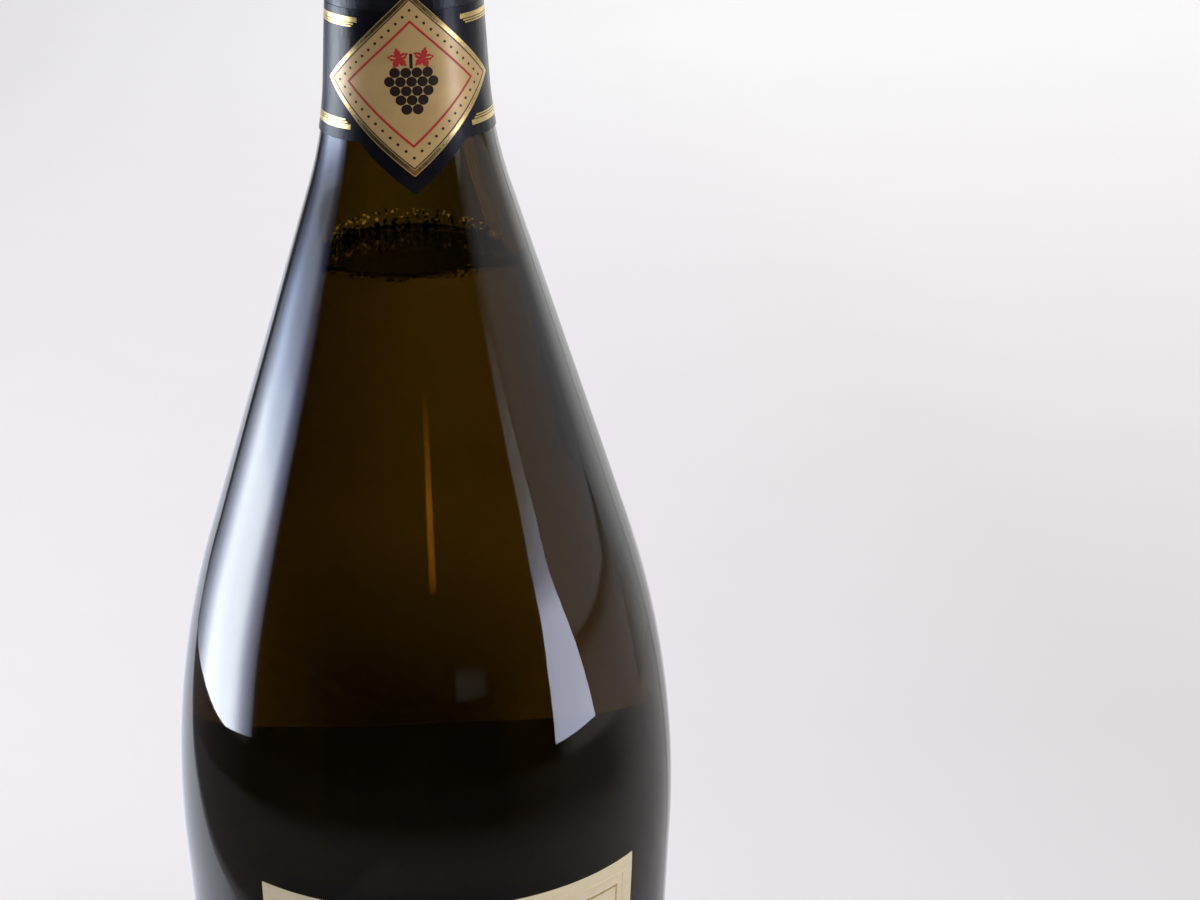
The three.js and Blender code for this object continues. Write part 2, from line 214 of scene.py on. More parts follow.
def punt(rise, shares):
    """Outline of the dome under the bottle, from its middle outwards."""
    rim = rest_inner - punt_rim_width
    return [(rim * s, rise + punt_height * (1 - s**2)) for s in shares]


rest_outer = side_radius(heel_radius, 0) - heel_radius
rest_inner = rest_outer - rest_ring_width
bore_radius = neck_radius - wall
inner_heel_top = floor_thickness + 1.75 * inner_heel_radius


def hollow(out):
    """Outline of the hollow from the middle of its floor to the top of its round corner."""
    corner = side_radius(inner_heel_top, out) - inner_heel_radius
    grown = out + wall
    turn = [math.radians(a) for a in np.linspace(-75, 0, 9)]
    round_corner = [
        (
            corner + inner_heel_radius * math.cos(a),
            floor_thickness + inner_heel_radius * (1 + math.sin(a)) - grown,
        )
        for a in turn
    ]
    return [*punt(floor_thickness - grown, np.linspace(0, 0.86, 14)), *round_corner]


ring_top = mouth - ring_below_mouth
ring_low = ring_top - ring_depth
ring_root = ring_low - 1.6
bead_top = mouth - lip_height
bead_low = bead_top - bead_depth
heel = [math.radians(a) for a in np.linspace(-90, 0, 10)]
finish = rounded(
    [
        (neck_radius, ring_root - 3, 0),
        (neck_radius, ring_root, 0.8),
        (ring_radius - 0.2, ring_low - 0.3, 0.7),
        (ring_radius, ring_top + 0.3, 0.8),
        (neck_radius, ring_top + 2.2, 1.4),
        (neck_radius, bead_low - 1.2, 1.2),
        (bead_radius, bead_low, 0.9),
        (bead_radius, bead_top, 1.6),
        (bead_radius - 1.2, mouth, 1.2),
        (bore_radius + 1, mouth, 0.7),
        (bore_radius, mouth - 1, 0.7),
        (bore_radius, neck_start, 0),
    ]
)
foot = [*punt(0, np.linspace(0, 0.98, 16)), (rest_inner, 0), (rest_inner + 1.3, 0), (rest_outer - 1.3, 0)]
outside = [(rest_outer + heel_radius * math.cos(a), heel_radius * (1 + math.sin(a))) for a in heel]
outside += side(heel_radius + 2, ring_root - 3, 0)
inside = side(inner_heel_top, neck_start, -wall)[:-1]
glass_outline = [*foot, *outside, *finish[1:], *reversed(inside), *reversed(hollow(-wall))]
ribbed = (len(foot) - 2, len(foot) - 1)
seamed = range(len(foot) + 6, len(foot) + len(outside))


def mould_marks(k, a):
    """Ribs under the foot and the seam of the mould."""
    if k in ribbed:
        return 0, foot_rib_depth * (0.5 - 0.5 * math.cos(a * foot_ribs))
    if k in seamed:
        off_seam = abs((a - seam_angle + math.pi / 2) % math.pi - math.pi / 2)
        return seam_height * max(0, 1 - off_seam * glass_segments / (2 * math.pi)), 0
    return 0, 0


# Bottle glass, moulded: a clear skin with a slow ripple from the mould, and smears from handling.
# Its colour is in its thickness, so a single wall is amber and two walls with wine between are nearly black.
glass_ripple = 28
glass_smear = 14
bottle_glass, tree, place = blank("Moulded olive bottle glass")
ripple = node(tree, "TexNoise", {"Vector": place, "Scale": 1 / (glass_ripple * MM), "Detail": 1.0})
smear = node(tree, "TexNoise", {"Vector": place, "Scale": 1 / (glass_smear * MM), "Detail": 5.0})
gloss = node(tree, "MapRange", {"Value": smear, "From Min": 0.45, "From Max": 0.75, "To Max": 0.045})
wavy = node(tree, "Bump", {"Height": ripple, "Strength": 0.5, "Distance": 0.0004})
skin = node(
    tree,
    "BsdfPrincipled",
    {
        "Base Color": linear("#ffffff"),
        "Roughness": gloss,
        "IOR": 1.52,
        "Transmission Weight": 1.0,
        "Normal": wavy,
    },
)
depth = node(tree, "VolumeAbsorption", {"Color": linear("#d4c971"), "Density": 1000.0})
node(tree, "OutputMaterial", {"Surface": skin, "Volume": depth})

glass = make("bottle_glass", turned(glass_outline, glass_segments, mould_marks), bottle_glass, 60)
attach(glass, "bottle")
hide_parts("glass_bottle")


# Wine: pale straw sparkling wine that fills the hollow to the neck and climbs the glass in a small meniscus.
# It reaches a little into the wall, so that no film of air shows between the two.
wine_into_wall = 0.15
wine_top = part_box("wine")[1].z / MM
meniscus_rise = 1.1
meniscus_width = 2.6
wine_out = -wall + wine_into_wall
rim_radius = side_radius(wine_top, wine_out)
climb = [
    (rim_radius - meniscus_width * s, wine_top + meniscus_rise * (1 - s) ** 3 - meniscus_rise / 2)
    for s in np.linspace(0, 1, 8)
]
level = [(climb[-1][0] * s, climb[-1][1]) for s in (0.75, 0.5, 0.25, 0)]
wine_outline = [*hollow(wine_out), *side(inner_heel_top, wine_top, wine_out), *climb[1:], *level]

# Straw wine: clear and bright, with a breath of straw over its depth and a faint unevenness on its skin.
wine_ripple = 20
straw_wine, tree, place = blank("Straw sparkling wine")
ripple = node(tree, "TexNoise", {"Vector": place, "Scale": 1 / (wine_ripple * MM), "Detail": 1.0})
wavy = node(tree, "Bump", {"Height": ripple, "Strength": 0.15, "Distance": 0.0002})
skin = node(
    tree,
    "BsdfPrincipled",
    {
        "Base Color": linear("#ffffff"),
        "Roughness": 0.0,
        "IOR": 1.34,
        "Transmission Weight": 1.0,
        "Normal": wavy,
    },
)
depth = node(tree, "VolumeAbsorption", {"Color": linear("#e8e0a0"), "Density": 20.0})
node(tree, "OutputMaterial", {"Surface": skin, "Volume": depth})

wine = make("wine_fill", turned(wine_outline, 144), straw_wine, 60)
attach(wine, "bottle")
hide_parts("wine")


# Froth: small gas bubbles that cling to the glass round the wine's edge, close together just under the
# surface and scattered above it on the back wall, where the wine has run off.
froth_under = 300
froth_above = 260
froth_top = 0.3
froth_depth = 1.6
froth_start = 0.4
froth_climb = 2.6
smallest_bubble = 0.16
largest_bubble = 0.42
bubble_flatness = 0.85
bubbles = bmesh.new()
for k in range(froth_under + froth_above):
    noise.seed_set(k + 1)
    spread = noise.random_unit_vector()
    share = 0.5 + 0.5 * spread.x
    radius = smallest_bubble + (largest_bubble - smallest_bubble) * share**2
    if k < froth_under:
        a = 2 * math.pi * (k + spread.y) / froth_under
        z = wine_top + froth_top - froth_depth * abs(spread.z)
    else:
        a = math.pi + 2 * spread.y
        z = wine_top + froth_start + froth_climb * spread.z**2
    reach = side_radius(z, -wall) - 0.9 * radius
    spot = Vector((reach * math.sin(a), -reach * math.cos(a), z)) * MM
    dome = Matrix.Translation(spot) @ Matrix.Diagonal((1, 1, bubble_flatness, 1))
    bmesh.ops.create_icosphere(bubbles, subdivisions=2, radius=radius * MM, matrix=dome)
bubble_data = bpy.data.meshes.new("wine_bubbles")
bubbles.to_mesh(bubble_data)
bubbles.free()
bubble_data.shade_smooth()


def grade(ramp, stops):
    """Sets a colour ramp's stops, in rising order, from (position, grey level or hex colour) pairs."""
    elements = ramp.color_ramp.elements
    while len(elements) < len(stops):
        elements.new(1)
    for element, (position, shade) in zip(elements, stops):
        element.position = position
        element.color = linear(shade) if isinstance(shade, str) else [shade] * 3 + [1]


# Gas bubbles: light turns back inside them, so each is a tiny mirror, most of them dark. Those above the
# wine are painted paler, and the palest of them get a weak painted glow, standing in for the light of the
# whole neck that they gather.
bubble_tone = 0.9
brightest_above = 1.8
bubble_film, tree, place = blank("Mirror-bright gas bubbles")
tone = node(tree, "TexNoise", {"Vector": place, "Scale": 1 / (bubble_tone * MM), "Detail": 1.0})
height = node(tree, "SeparateXYZ", {"Vector": place})
surface = {
    "Value": height.outputs["Z"],
    "From Min": wine_top * MM,
    "From Max": (wine_top + brightest_above) * MM,
}
# Bubbles above the wine are painted paler, and the palest of them get a painted glow.
painted_lift = node(tree, "MapRange", {**surface, "To Min": -0.2, "To Max": 0.03})
shade = node(tree, "Math", {0: tone, 1: painted_lift}, operation="ADD")
tint = node(tree, "ValToRGB", {"Fac": shade})
grade(tint, [(0.44, "#070502"), (0.5, "#3d321c"), (0.54, "#fff6d8")])
gloss = node(tree, "MapRange", {"Value": tone, "To Min": 0.02, "To Max": 0.25})
painted_glow = node(tree, "MapRange", {"Value": shade, "From Min": 0.5, "From Max": 0.62, "To Max": 0.45})
film = node(
    tree,
    "BsdfPrincipled",
    {
        "Base Color": tint,
        "Metallic": 1.0,
        "Roughness": gloss,
        "Emission Color": linear("#ffeec2"),
        "Emission Strength": painted_glow,
    },
)
node(tree, "OutputMaterial", {"Surface": film})
bubble_data.materials.append(bubble_film)
bubble_ring = bpy.data.objects.new("wine_bubbles", bubble_data)
bpy.context.scene.collection.objects.link(bubble_ring)
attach(bubble_ring, "bottle")


# Cork: a mushroom cork of pressed granules, squeezed into the bore and bulging over the lip.
# Two discs of natural cork are glued under it, towards the wine. The cut faces are slightly pitted.
cork_radius = bore_radius - 0.12
cork_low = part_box("cork_disc_lower")[0].z / MM
disc_thickness = (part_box("cork_disc_lower")[1].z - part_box("cork_disc_lower")[0].z) / MM
upper_disc_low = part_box("cork_disc_upper")[0].z / MM
granules_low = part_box("cork_body")[0].z / MM
head_low = mouth + 0.4
head_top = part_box("cork_body")[1].z / MM
head_radius = 14.8
pit_depth = 0.1
granule_pits = 3.0
sawn_pits = 2.0
outline_step = 0.9
cork_outline = rounded(
    [
        (0, granules_low, 0),
        (cork_radius, granules_low, 0.3),
        (cork_radius, head_low, 0.8),
        (head_radius - 4, head_low + 0.7, 1.2),
        (head_radius - 1.2, head_low + 3.2, 2),
        (head_radius - 0.1, head_low + 9, 3),
        (head_radius - 0.2, head_top, 3),
        (head_radius - 5, head_top, 1),
        (0, head_top, 0),
    ],
    8,
)


def divided(outline, step):
    """The outline with points added so that none are further apart than the step."""
    points = [outline[0]]
    for (r0, z0), (r1, z1) in zip(outline, outline[1:]):
        count = max(1, math.ceil(math.hypot(r1 - r0, z1 - z0) / step))
        points += [(r0 + (r1 - r0) * k / count, z0 + (z1 - z0) * k / count) for k in range(1, count + 1)]
    return points


def pitted(outline, grain):
    """Relief that dents a cork outline here and there, and never raises it."""

    def relief(k, a):
        r, z = outline[k]
        spot = Vector((r * math.sin(a), -r * math.cos(a), z)) / grain
        dent = pit_depth * max(0, noise.noise(spot) + 0.1)
        return (-dent if r > 0.5 else 0), 0

    return relief


cork_outline = divided(cork_outline, outline_step)


# Pressed cork granules: pale and dark brown grains of 2 to 3 mm, dull, with dark glue lines between them.
# Most of a noise pattern lies in its middle range, so that is what its tones are spread over.
granule_size = 2.6
granule_speck = 0.5
middle_range = {"From Min": 0.3, "From Max": 0.7}
granules, tree, place = blank("Pressed cork granules")
grains = {"Vector": place, "Scale": 1 / (granule_size * MM)}
cells = node(tree, "TexVoronoi", grains)
edges = node(tree, "TexVoronoi", grains, feature="DISTANCE_TO_EDGE")
tone = node(tree, "SeparateColor", {"Color": cells.outputs["Color"]})
browns = node(tree, "ValToRGB", {"Fac": tone})
grade(browns, [(0, "#7d5530"), (0.35, "#b3844f"), (1, "#d3aa78")])
speck = node(tree, "TexNoise", {"Vector": place, "Scale": 1 / (granule_speck * MM), "Detail": 4.0})
speckle = node(tree, "MapRange", {"Value": speck, **middle_range, "To Min": 0.75, "To Max": 1.1})
speckled = node(tree, "VectorMath", {0: browns, 1: speckle}, operation="MULTIPLY")
glue = node(tree, "MapRange", {"Value": edges, "From Max": 0.12, "To Min": 0.45})
colour = node(tree, "VectorMath", {0: speckled, 1: glue}, operation="MULTIPLY")
height = node(tree, "Math", {0: glue, 1: speck}, operation="MULTIPLY")
rough = node(tree, "Bump", {"Height": height, "Strength": 0.6, "Distance": 0.0003})
skin = node(tree, "BsdfPrincipled", {"Base Color": colour, "Roughness": 0.85, "IOR": 1.4, "Normal": rough})
node(tree, "OutputMaterial", {"Surface": skin})

cork_mesh = turned(cork_outline, 120, pitted(cork_outline, granule_pits))
cork = make("cork_granules", cork_mesh, granules, 50)
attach(cork, "cork")
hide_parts("cork_body")

# Natural cork, sawn: fine growth lines across the disc and dark lenticels, with a soft dull surface.
growth_ring = 2.2
lenticel_spacing = 2.4
natural_cork, tree, place = blank("Natural cork")
bands = node(
    tree,
    "TexWave",
    {"Vector": place, "Scale": math.pi / (10 * growth_ring * MM), "Distortion": 6.0, "Detail": 2.0},
    bands_direction="X",
)
pores = node(tree, "TexVoronoi", {"Vector": place, "Scale": 1 / (lenticel_spacing * MM)})
wood = node(tree, "ValToRGB", {"Fac": bands.outputs["Fac"]})
grade(wood, [(0, "#b98a57"), (1, "#d6ae7c")])
pits = node(tree, "MapRange", {"Value": pores, "From Min": 0.08, "From Max": 0.25, "To Min": 0.4})
colour = node(tree, "VectorMath", {0: wood, 1: pits}, operation="MULTIPLY")
rough = node(tree, "Bump", {"Height": pits, "Strength": 0.5, "Distance": 0.0003})
skin = node(tree, "BsdfPrincipled", {"Base Color": colour, "Roughness": 0.8, "IOR": 1.4, "Normal": rough})
node(tree, "OutputMaterial", {"Surface": skin})

for name, low in (("upper", upper_disc_low), ("lower", cork_low)):
    top = low + disc_thickness
    corners = [(0, low, 0), (cork_radius, low, 0.4), (cork_radius, top, 0.2), (0, top, 0)]
    disc_outline = divided(rounded(corners), outline_step)
    disc_mesh = turned(disc_outline, 96, pitted(disc_outline, sawn_pits))
    disc = make(f"cork_disc_{name}_sawn", disc_mesh, natural_cork, 50)
    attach(disc, "cork")
    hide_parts(f"cork_disc_{name}")


# Cap plate: a disc stamped from thin tinplate and lacquered, with a raised crown, a pressed ring on it and
# a rolled brim. It spreads the cage's pull over the cork's head.
plate_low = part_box("cage_cap_plate")[0].z / MM
plate_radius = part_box("cage_cap_plate")[1].x / MM
plate_thickness = 0.4
crown_radius = 9.6
crown_low = plate_low + 1.2
plate_outline = rounded(
    [
        (0, crown_low + 0.3, 0),
        (crown_radius - 1.6, crown_low, 0.4),
        (crown_radius - 0.5, crown_low - 0.2, 0.4),
        (crown_radius, plate_low, 0.3),
        (plate_radius - 0.3, plate_low, 0.2),
        (plate_radius, plate_low + 0.2, 0.2),
        (plate_radius - 0.1, plate_low + plate_thickness + 0.15, 0.2),
        (plate_radius - 0.6, plate_low + plate_thickness, 0.3),
        (crown_radius + 0.3, plate_low + plate_thickness, 0.3),
        (crown_radius - 0.3, crown_low + plate_thickness - 0.1, 0.4),
        (crown_radius - 1.4, crown_low + plate_thickness, 0.5),
        (crown_radius - 2.2, crown_low + plate_thickness - 0.12, 0.3),
        (crown_radius - 3.0, crown_low + plate_thickness + 0.16, 0.3),
        (0, crown_low + plate_thickness + 0.3, 0),
    ]
)

# Lacquered tinplate, stamped: near-black lacquer with a soft orange-peel gloss and a few rubbed spots.
peel = 0.8
rubbed_spot = 3
lacquer, tree, place = blank("Lacquered tinplate")
orange_peel = node(tree, "TexNoise", {"Vector": place, "Scale": 1 / (peel * MM), "Detail": 2.0})
rub = node(tree, "TexNoise", {"Vector": place, "Scale": 1 / (rubbed_spot * MM), "Detail": 6.0})
rubbed = {"Value": rub, "From Min": 0.55, "From Max": 0.75}
worn = node(tree, "MapRange", {**rubbed, "To Min": 0.22, "To Max": 0.5})
tint = node(tree, "ValToRGB", {"Fac": rub})
grade(tint, [(0, "#12141c"), (1, "#1d202b")])
bump = node(tree, "Bump", {"Height": orange_peel, "Strength": 0.12, "Distance": 0.0002})
skin = node(
    tree,
    "BsdfPrincipled",
    {
        "Base Color": tint,
        "Metallic": 0.35,
        "Roughness": worn,
        "Coat Weight": 0.5,
        "Coat Roughness": 0.12,
        "Normal": bump,
    },
)
node(tree, "OutputMaterial", {"Surface": skin})

plate = make("cap_plate", turned(plate_outline, 144), lacquer, 50)
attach(plate, "cage")
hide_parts("cage_cap_plate")


# Cage: galvanised steel wire. A ring lies on the plate's brim, four legs of two twisted strands hook over it
# and end in eyelets, and a belt threads the eyelets under the glass ring, its ends turned out at the back.
wire_radius = 0.5
leg_wire_radius = 0.48
leg_turns = 6
eyelet_radius = 1.25
eyelet_wire_radius = 0.4
top_ring_height = plate_low + plate_thickness + 0.7
top_ring_radius = crown_radius + 1.1
belt_height = ring_low - 2.9
belt_radius = neck_radius + 2.0
hook_gap = 0.22
tail_spread = 0.65
tail_bend = 1.3
tail_bend_radius = belt_radius + 0.9
tail_end = belt_radius + 1.9
cut_end_bulge = 0.1
leg_reach = ring_radius + 1.26


def curve_through(points, count):
    """Points evenly along a centripetal Catmull-Rom curve, as a bent wire runs."""
    ends = [Vector(p) for p in points]
    ends = [2 * ends[0] - ends[1], *ends, 2 * ends[-1] - ends[-2]]
    fine = []
    for p0, p1, p2, p3 in zip(ends, ends[1:], ends[2:], ends[3:]):
        t1 = (p1 - p0).length ** 0.5
        t2 = t1 + (p2 - p1).length ** 0.5
        t3 = t2 + (p3 - p2).length ** 0.5
        for t in np.linspace(t1, t2, 24, endpoint=False):
            a1 = p0.lerp(p1, t / t1)
            a2 = p1.lerp(p2, (t - t1) / (t2 - t1))
            a3 = p2.lerp(p3, (t - t2) / (t3 - t2))
            b1 = a1.lerp(a2, t / t2)
            b2 = a2.lerp(a3, (t - t1) / (t3 - t1))
            fine.append(b1.lerp(b2, (t - t1) / (t2 - t1)))
    fine = np.array([*fine, ends[-2]])
    run = np.concatenate([[0], np.cumsum(np.linalg.norm(np.diff(fine, axis=0), axis=1))])
    even = np.linspace(0, run[-1], count)
    return np.stack([np.interp(even, run, fine[:, k]) for k in range(3)], axis=1)


def wire(path, radius, sides=10, closed=False):
    """Mesh of a round wire along a path, with nearly flat cut ends where it isn't closed."""
    path = np.array(path, float)
    ahead = np.roll(path, -1, 0) - np.roll(path, 1, 0) if closed else np.gradient(path, axis=0)
    ahead /= np.linalg.norm(ahead, axis=1)[:, None]
    start = np.eye(3)[np.argmin(np.abs(ahead[0]))]
    points, faces = [], []
    for middle, along in zip(path, ahead):
        start = start - along * (start @ along)
        start = start / np.linalg.norm(start)
        across = np.cross(along, start)
        for k in range(sides):
            a = 2 * math.pi * k / sides
            points.append((middle + radius * (math.cos(a) * start + math.sin(a) * across)) * MM)
    count = len(path)
    for i in range(count if closed else count - 1):
        near, far = i * sides, (i + 1) % count * sides
        for k in range(sides):
            m = (k + 1) % sides
            faces.append([near + k, near + m, far + m, far + k])
    if not closed:
        last = (count - 1) * sides
        points.append((path[0] - ahead[0] * radius * cut_end_bulge) * MM)
        points.append((path[-1] + ahead[-1] * radius * cut_end_bulge) * MM)
        for k in range(sides):
            m = (k + 1) % sides
            faces.append([k, len(points) - 2, m])
            faces.append([last + m, len(points) - 1, last + k])
    return points, faces


def twisted(path, side_way, radius, turns, lead=0):
    """The middles of two strands twisted round a path that lies in the plane across `side_way`.

    They start side by side, and the twist begins after the lead, a share of the twisted length.
    """
    ahead = np.gradient(path, axis=0)
    ahead /= np.linalg.norm(ahead, axis=1)[:, None]
    side_way = np.array(side_way, float)
    across = np.cross(ahead, side_way)
    angle = -2 * math.pi * turns * np.maximum(0, np.linspace(-lead, 1, len(path)))[:, None]
    reach = radius * (np.cos(angle) * side_way + np.sin(angle) * across)
    return path + reach, path - reach


def joined(*meshes):
    points, faces = [], []
    for some_points, some_faces in meshes:
        faces += [[i + len(points) for i in face] for face in some_faces]
        points += list(some_points)
    return points, faces


# Galvanised wire, drawn: bright grey with fine lines along the draw and a cloudy dulling of the zinc.
zinc_cloud = 1.5
drawn_line = 0.12
zinc_wire, tree, place = blank("Galvanised steel wire")
cloud = node(tree, "TexNoise", {"Vector": place, "Scale": 1 / (zinc_cloud * MM), "Detail": 3.0})
lines = node(tree, "TexNoise", {"Vector": place, "Scale": 1 / (drawn_line * MM), "Detail": 1.0})
tint = node(tree, "ValToRGB", {"Fac": cloud})
grade(tint, [(0, "#9c9a93"), (1, "#d2cfc7")])
dull = node(tree, "MapRange", {"Value": cloud, **middle_range, "To Min": 0.22, "To Max": 0.42})
bump = node(tree, "Bump", {"Height": lines, "Strength": 0.15, "Distance": 0.00005})
skin = node(tree, "BsdfPrincipled", {"Base Color": tint, "Metallic": 1.0, "Roughness": dull, "Normal": bump})
node(tree, "OutputMaterial", {"Surface": skin})


def hoop(centre, radius, first, second, count):
    """Points of a circle in the plane of two directions."""
    turn = np.linspace(0, 2 * math.pi, count, endpoint=False)[:, None]
    return np.array(centre) + radius * (np.cos(turn) * np.array(first) + np.sin(turn) * np.array(second))


ring_path = hoop((0, 0, top_ring_height), top_ring_radius, (1, 0, 0), (0, 1, 0), 96)
top_ring = make("top_ring_wire", wire(ring_path, wire_radius, 12, True), zinc_wire)
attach(top_ring, "cage")
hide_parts("cage_top_ring")

over_ring = top_ring_height + wire_radius + hook_gap + 2 * leg_wire_radius
leg_outline = [
    (top_ring_radius - 0.4, over_ring),
    (top_ring_radius + 1.4, over_ring - 0.3),
    (plate_radius + 1.9, plate_low + 0.5),
    (head_radius + 1.2, head_top - 3.5),
    (leg_reach - 0.2, head_top - 9),
    (leg_reach, ring_top),
    (leg_reach, ring_low - 0.2),
    (leg_reach - 0.3, ring_low - 1.2),
    (belt_radius + 0.75 * eyelet_radius, belt_height + 0.75 * eyelet_radius),
]
for leg in (1, 2, 3, 4):
    a = math.radians(90 * leg - 45)
    outward = np.array((math.cos(a), math.sin(a), 0))
    bent = curve_through([(r * outward[0], r * outward[1], z) for r, z in leg_outline], 150)
    pair = twisted(bent, (-outward[1], outward[0], 0), leg_wire_radius, leg_turns)
    eyelet = hoop(outward * belt_radius + (0, 0, belt_height), eyelet_radius, outward, (0, 0, 1), 28)
    leg_wires = [wire(strand, leg_wire_radius) for strand in pair]
    leg_wires.append(wire(eyelet, eyelet_wire_radius, closed=True))
    made = make(f"cage_leg_{leg}_twist", joined(*leg_wires), zinc_wire)
    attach(made, "cage")
    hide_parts(f"cage_leg_{leg}")

belt_opening = math.asin((tail_spread + tail_bend) / belt_radius)
belt_turn = np.linspace(math.pi / 2 - belt_opening, belt_opening - 1.5 * math.pi, 40)
belt_bends = [(tail_spread, tail_end, belt_height), (tail_spread, tail_bend_radius, belt_height)]
belt_bends += [(belt_radius * math.cos(a), belt_radius * math.sin(a), belt_height) for a in belt_turn]
belt_bends += [(-x, y, z) for x, y, z in reversed(belt_bends[:2])]
belt = make("belt_wire_bent", wire(curve_through(belt_bends, 180), wire_radius, 12), zinc_wire)
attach(belt, "cage")
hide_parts("belt_wire")


# Ring-pull loop: the belt's wire twisted into a shank at the back, ending in an open eye for a finger.
# It hangs out from the neck; the shank swings up and the eye is turned to undo the cage.
loop_tilt = math.radians(25)
loop_gap = 0.6
root_bend = Vector((0, 0.7, -0.1))
shank_bend = Vector((0, 1.2, -0.5))
eye_gap = 0.3
shank_length = 10
shank_turns = 3
shank_lead = 0.1
loop_half_width = 5.8
loop_length = 15
loop_root = Vector((0, tail_end + loop_gap, belt_height))
loop_down = Vector((0, math.sin(loop_tilt), -math.cos(loop_tilt)))
shank_top = loop_root + shank_bend
shank_bends = [loop_root, loop_root + root_bend, shank_top]
shank_bends += [shank_top + loop_down * (shank_length * k / 4) for k in (1, 2, 3, 4)]
shank_strands = twisted(curve_through(shank_bends, 90), (1, 0, 0), wire_radius, shank_turns, shank_lead)
shank = make("loop_shank_twist", joined(*[wire(s, wire_radius) for s in shank_strands]), zinc_wire)
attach(shank, "loop_shank")
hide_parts("loop_shank")

eye_start = shank_top + loop_down * (shank_length + eye_gap)
eye_side = [
    (tail_spread, 0),
    (1.5, 1.6),
    (0.8 * loop_half_width, 0.34 * loop_length),
    (loop_half_width, 0.6 * loop_length),
    (0.68 * loop_half_width, 0.89 * loop_length),
]
eye_round = [*eye_side, (0, loop_length), *[(-x, s) for x, s in reversed(eye_side)]]
eye_bends = [eye_start + Vector((x, 0, 0)) + loop_down * s for x, s in eye_round]
eye = make("loop_eye_bent", wire(curve_through(eye_bends, 110), wire_radius, 12), zinc_wire)
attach(eye, "loop_eye")
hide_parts("loop_eye")


# Foil skirt: what is left of the black capsule once its top is torn away. Thin lacquered foil is pleated
# round the neck, with a ragged upper edge; its lower end is held under the collar.
foil_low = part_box("foil_skirt")[0].z / MM
foil_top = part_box("foil_skirt")[1].z / MM
foil_gap = 0.04
foil_thickness = 0.06
collar_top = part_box("neck_collar")[1].z / MM
tear_depth = 2.6
pleat_depth = 0.12
pleats = 34


def ring_noise(a, grain, row=0.0):
    """Noise that closes on itself round the bottle."""
    return noise.noise(Vector((grain * math.cos(a), grain * math.sin(a), row)))


def torn_edge(a):
    return foil_top - tear_depth * (0.5 + 0.45 * ring_noise(a, 2.5) + 0.5 * ring_noise(a, 9, 4.0))


def pleated(a, z):
    """How far the foil stands off its even wrap, growing from the collar to the torn edge."""
    share = max(0, (z - collar_top) / (foil_top - collar_top))
    wander = a + 0.12 * ring_noise(a, 5, 0.08 * z)
    fold = 0.4 + 0.6 * math.cos(pleats * wander)
    fullness = 0.6 + 0.8 * ring_noise(a, 4, 0.2 * z)
    return pleat_depth * share * fold * fullness


def wrapped(angles, rows, low, high, out, thickness, swell=None):
    """Mesh of a sheet on the bottle's side between two edges, each a height or a function of the angle."""
    whole = angles[-1] - angles[0] > 2 * math.pi - 0.001
    columns = angles[:-1] if whole else angles
    low_at = low if callable(low) else lambda a: low
    high_at = high if callable(high) else lambda a: high
    points, faces = [], []
    for a in columns:
        for face_out in (out, out + thickness):
            for share in np.linspace(0, 1, rows + 1):
                z = low_at(a) + (high_at(a) - low_at(a)) * share
                r = (side_radius(z, face_out) + (swell(a, z) if swell else 0)) * MM
                points.append((r * math.sin(a), -r * math.cos(a), z * MM))
    outer = rows + 1
    stride = 2 * outer
    count = len(columns)
    for i in range(count if whole else count - 1):
        near, far = i * stride, (i + 1) % count * stride
        for j in range(rows):
            faces.append([near + j, near + j + 1, far + j + 1, far + j])
            faces.append([near + outer + j, far + outer + j, far + outer + j + 1, near + outer + j + 1])
        faces.append([near, far, far + outer, near + outer])
        faces.append([near + rows, near + outer + rows, far + outer + rows, far + rows])
    if not whole:
        end = (count - 1) * stride
        for j in range(rows):
            faces.append([j, outer + j, outer + j + 1, j + 1])
            faces.append([end + j, end + j + 1, end + outer + j + 1, end + outer + j])
    return points, faces


# Capsule foil, rolled and lacquered: black with a cool sheen, fine crinkles catching the light in dashes.
crinkle = 1.3
foil_scuff = 6
capsule_foil, tree, place = blank("Lacquered capsule foil")
stretch = node(tree, "Mapping", {"Vector": place, "Scale": (1.0, 1.0, 0.35)})
folds = node(tree, "TexNoise", {"Vector": stretch, "Scale": 1 / (crinkle * MM), "Detail": 4.0})
scuff = node(tree, "TexNoise", {"Vector": place, "Scale": 1 / (foil_scuff * MM), "Detail": 6.0})
tint = node(tree, "ValToRGB", {"Fac": scuff})
grade(tint, [(0, "#0c0d12"), (1, "#1d1f28")])
scuffed = {"Value": scuff, "From Min": 0.35, "From Max": 0.7}
dull = node(tree, "MapRange", {**scuffed, "To Min": 0.26, "To Max": 0.45})
bump = node(tree, "Bump", {"Height": folds, "Strength": 0.35, "Distance": 0.0003})
skin = node(tree, "BsdfPrincipled", {"Base Color": tint, "Metallic": 0.3, "Roughness": dull, "Normal": bump})
node(tree, "OutputMaterial", {"Surface": skin})

foil_angles = np.linspace(0, 2 * math.pi, 10 * pleats + 1)
foil_mesh = wrapped(foil_angles, 26, foil_low, torn_edge, foil_gap, foil_thickness, pleated)
foil = make("foil_skirt_torn", foil_mesh, capsule_foil, 70)
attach(foil, "bottle")
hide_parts("foil_skirt")


# Collar: a band of coated paper, near-black, glued round the neck over the foil's lower end.
# Its lower edge runs to a point under the medallion.
collar_thickness = 0.1
collar_out = foil_gap + foil_thickness + 0.02
collar_low = collar_top - 22
collar_point = 8.3
neck_label_turn = math.radians(-2.5)
neck_label_radius = neck_radius + 0.5
medallion_half_width = 16
medallion_half_height = 15.3
medallion_slope = medallion_half_height / medallion_half_width


def collar_edge(a):
    arc = neck_label_radius * abs(a - neck_label_turn)
    return min(collar_low, collar_low - collar_point + medallion_slope * arc)


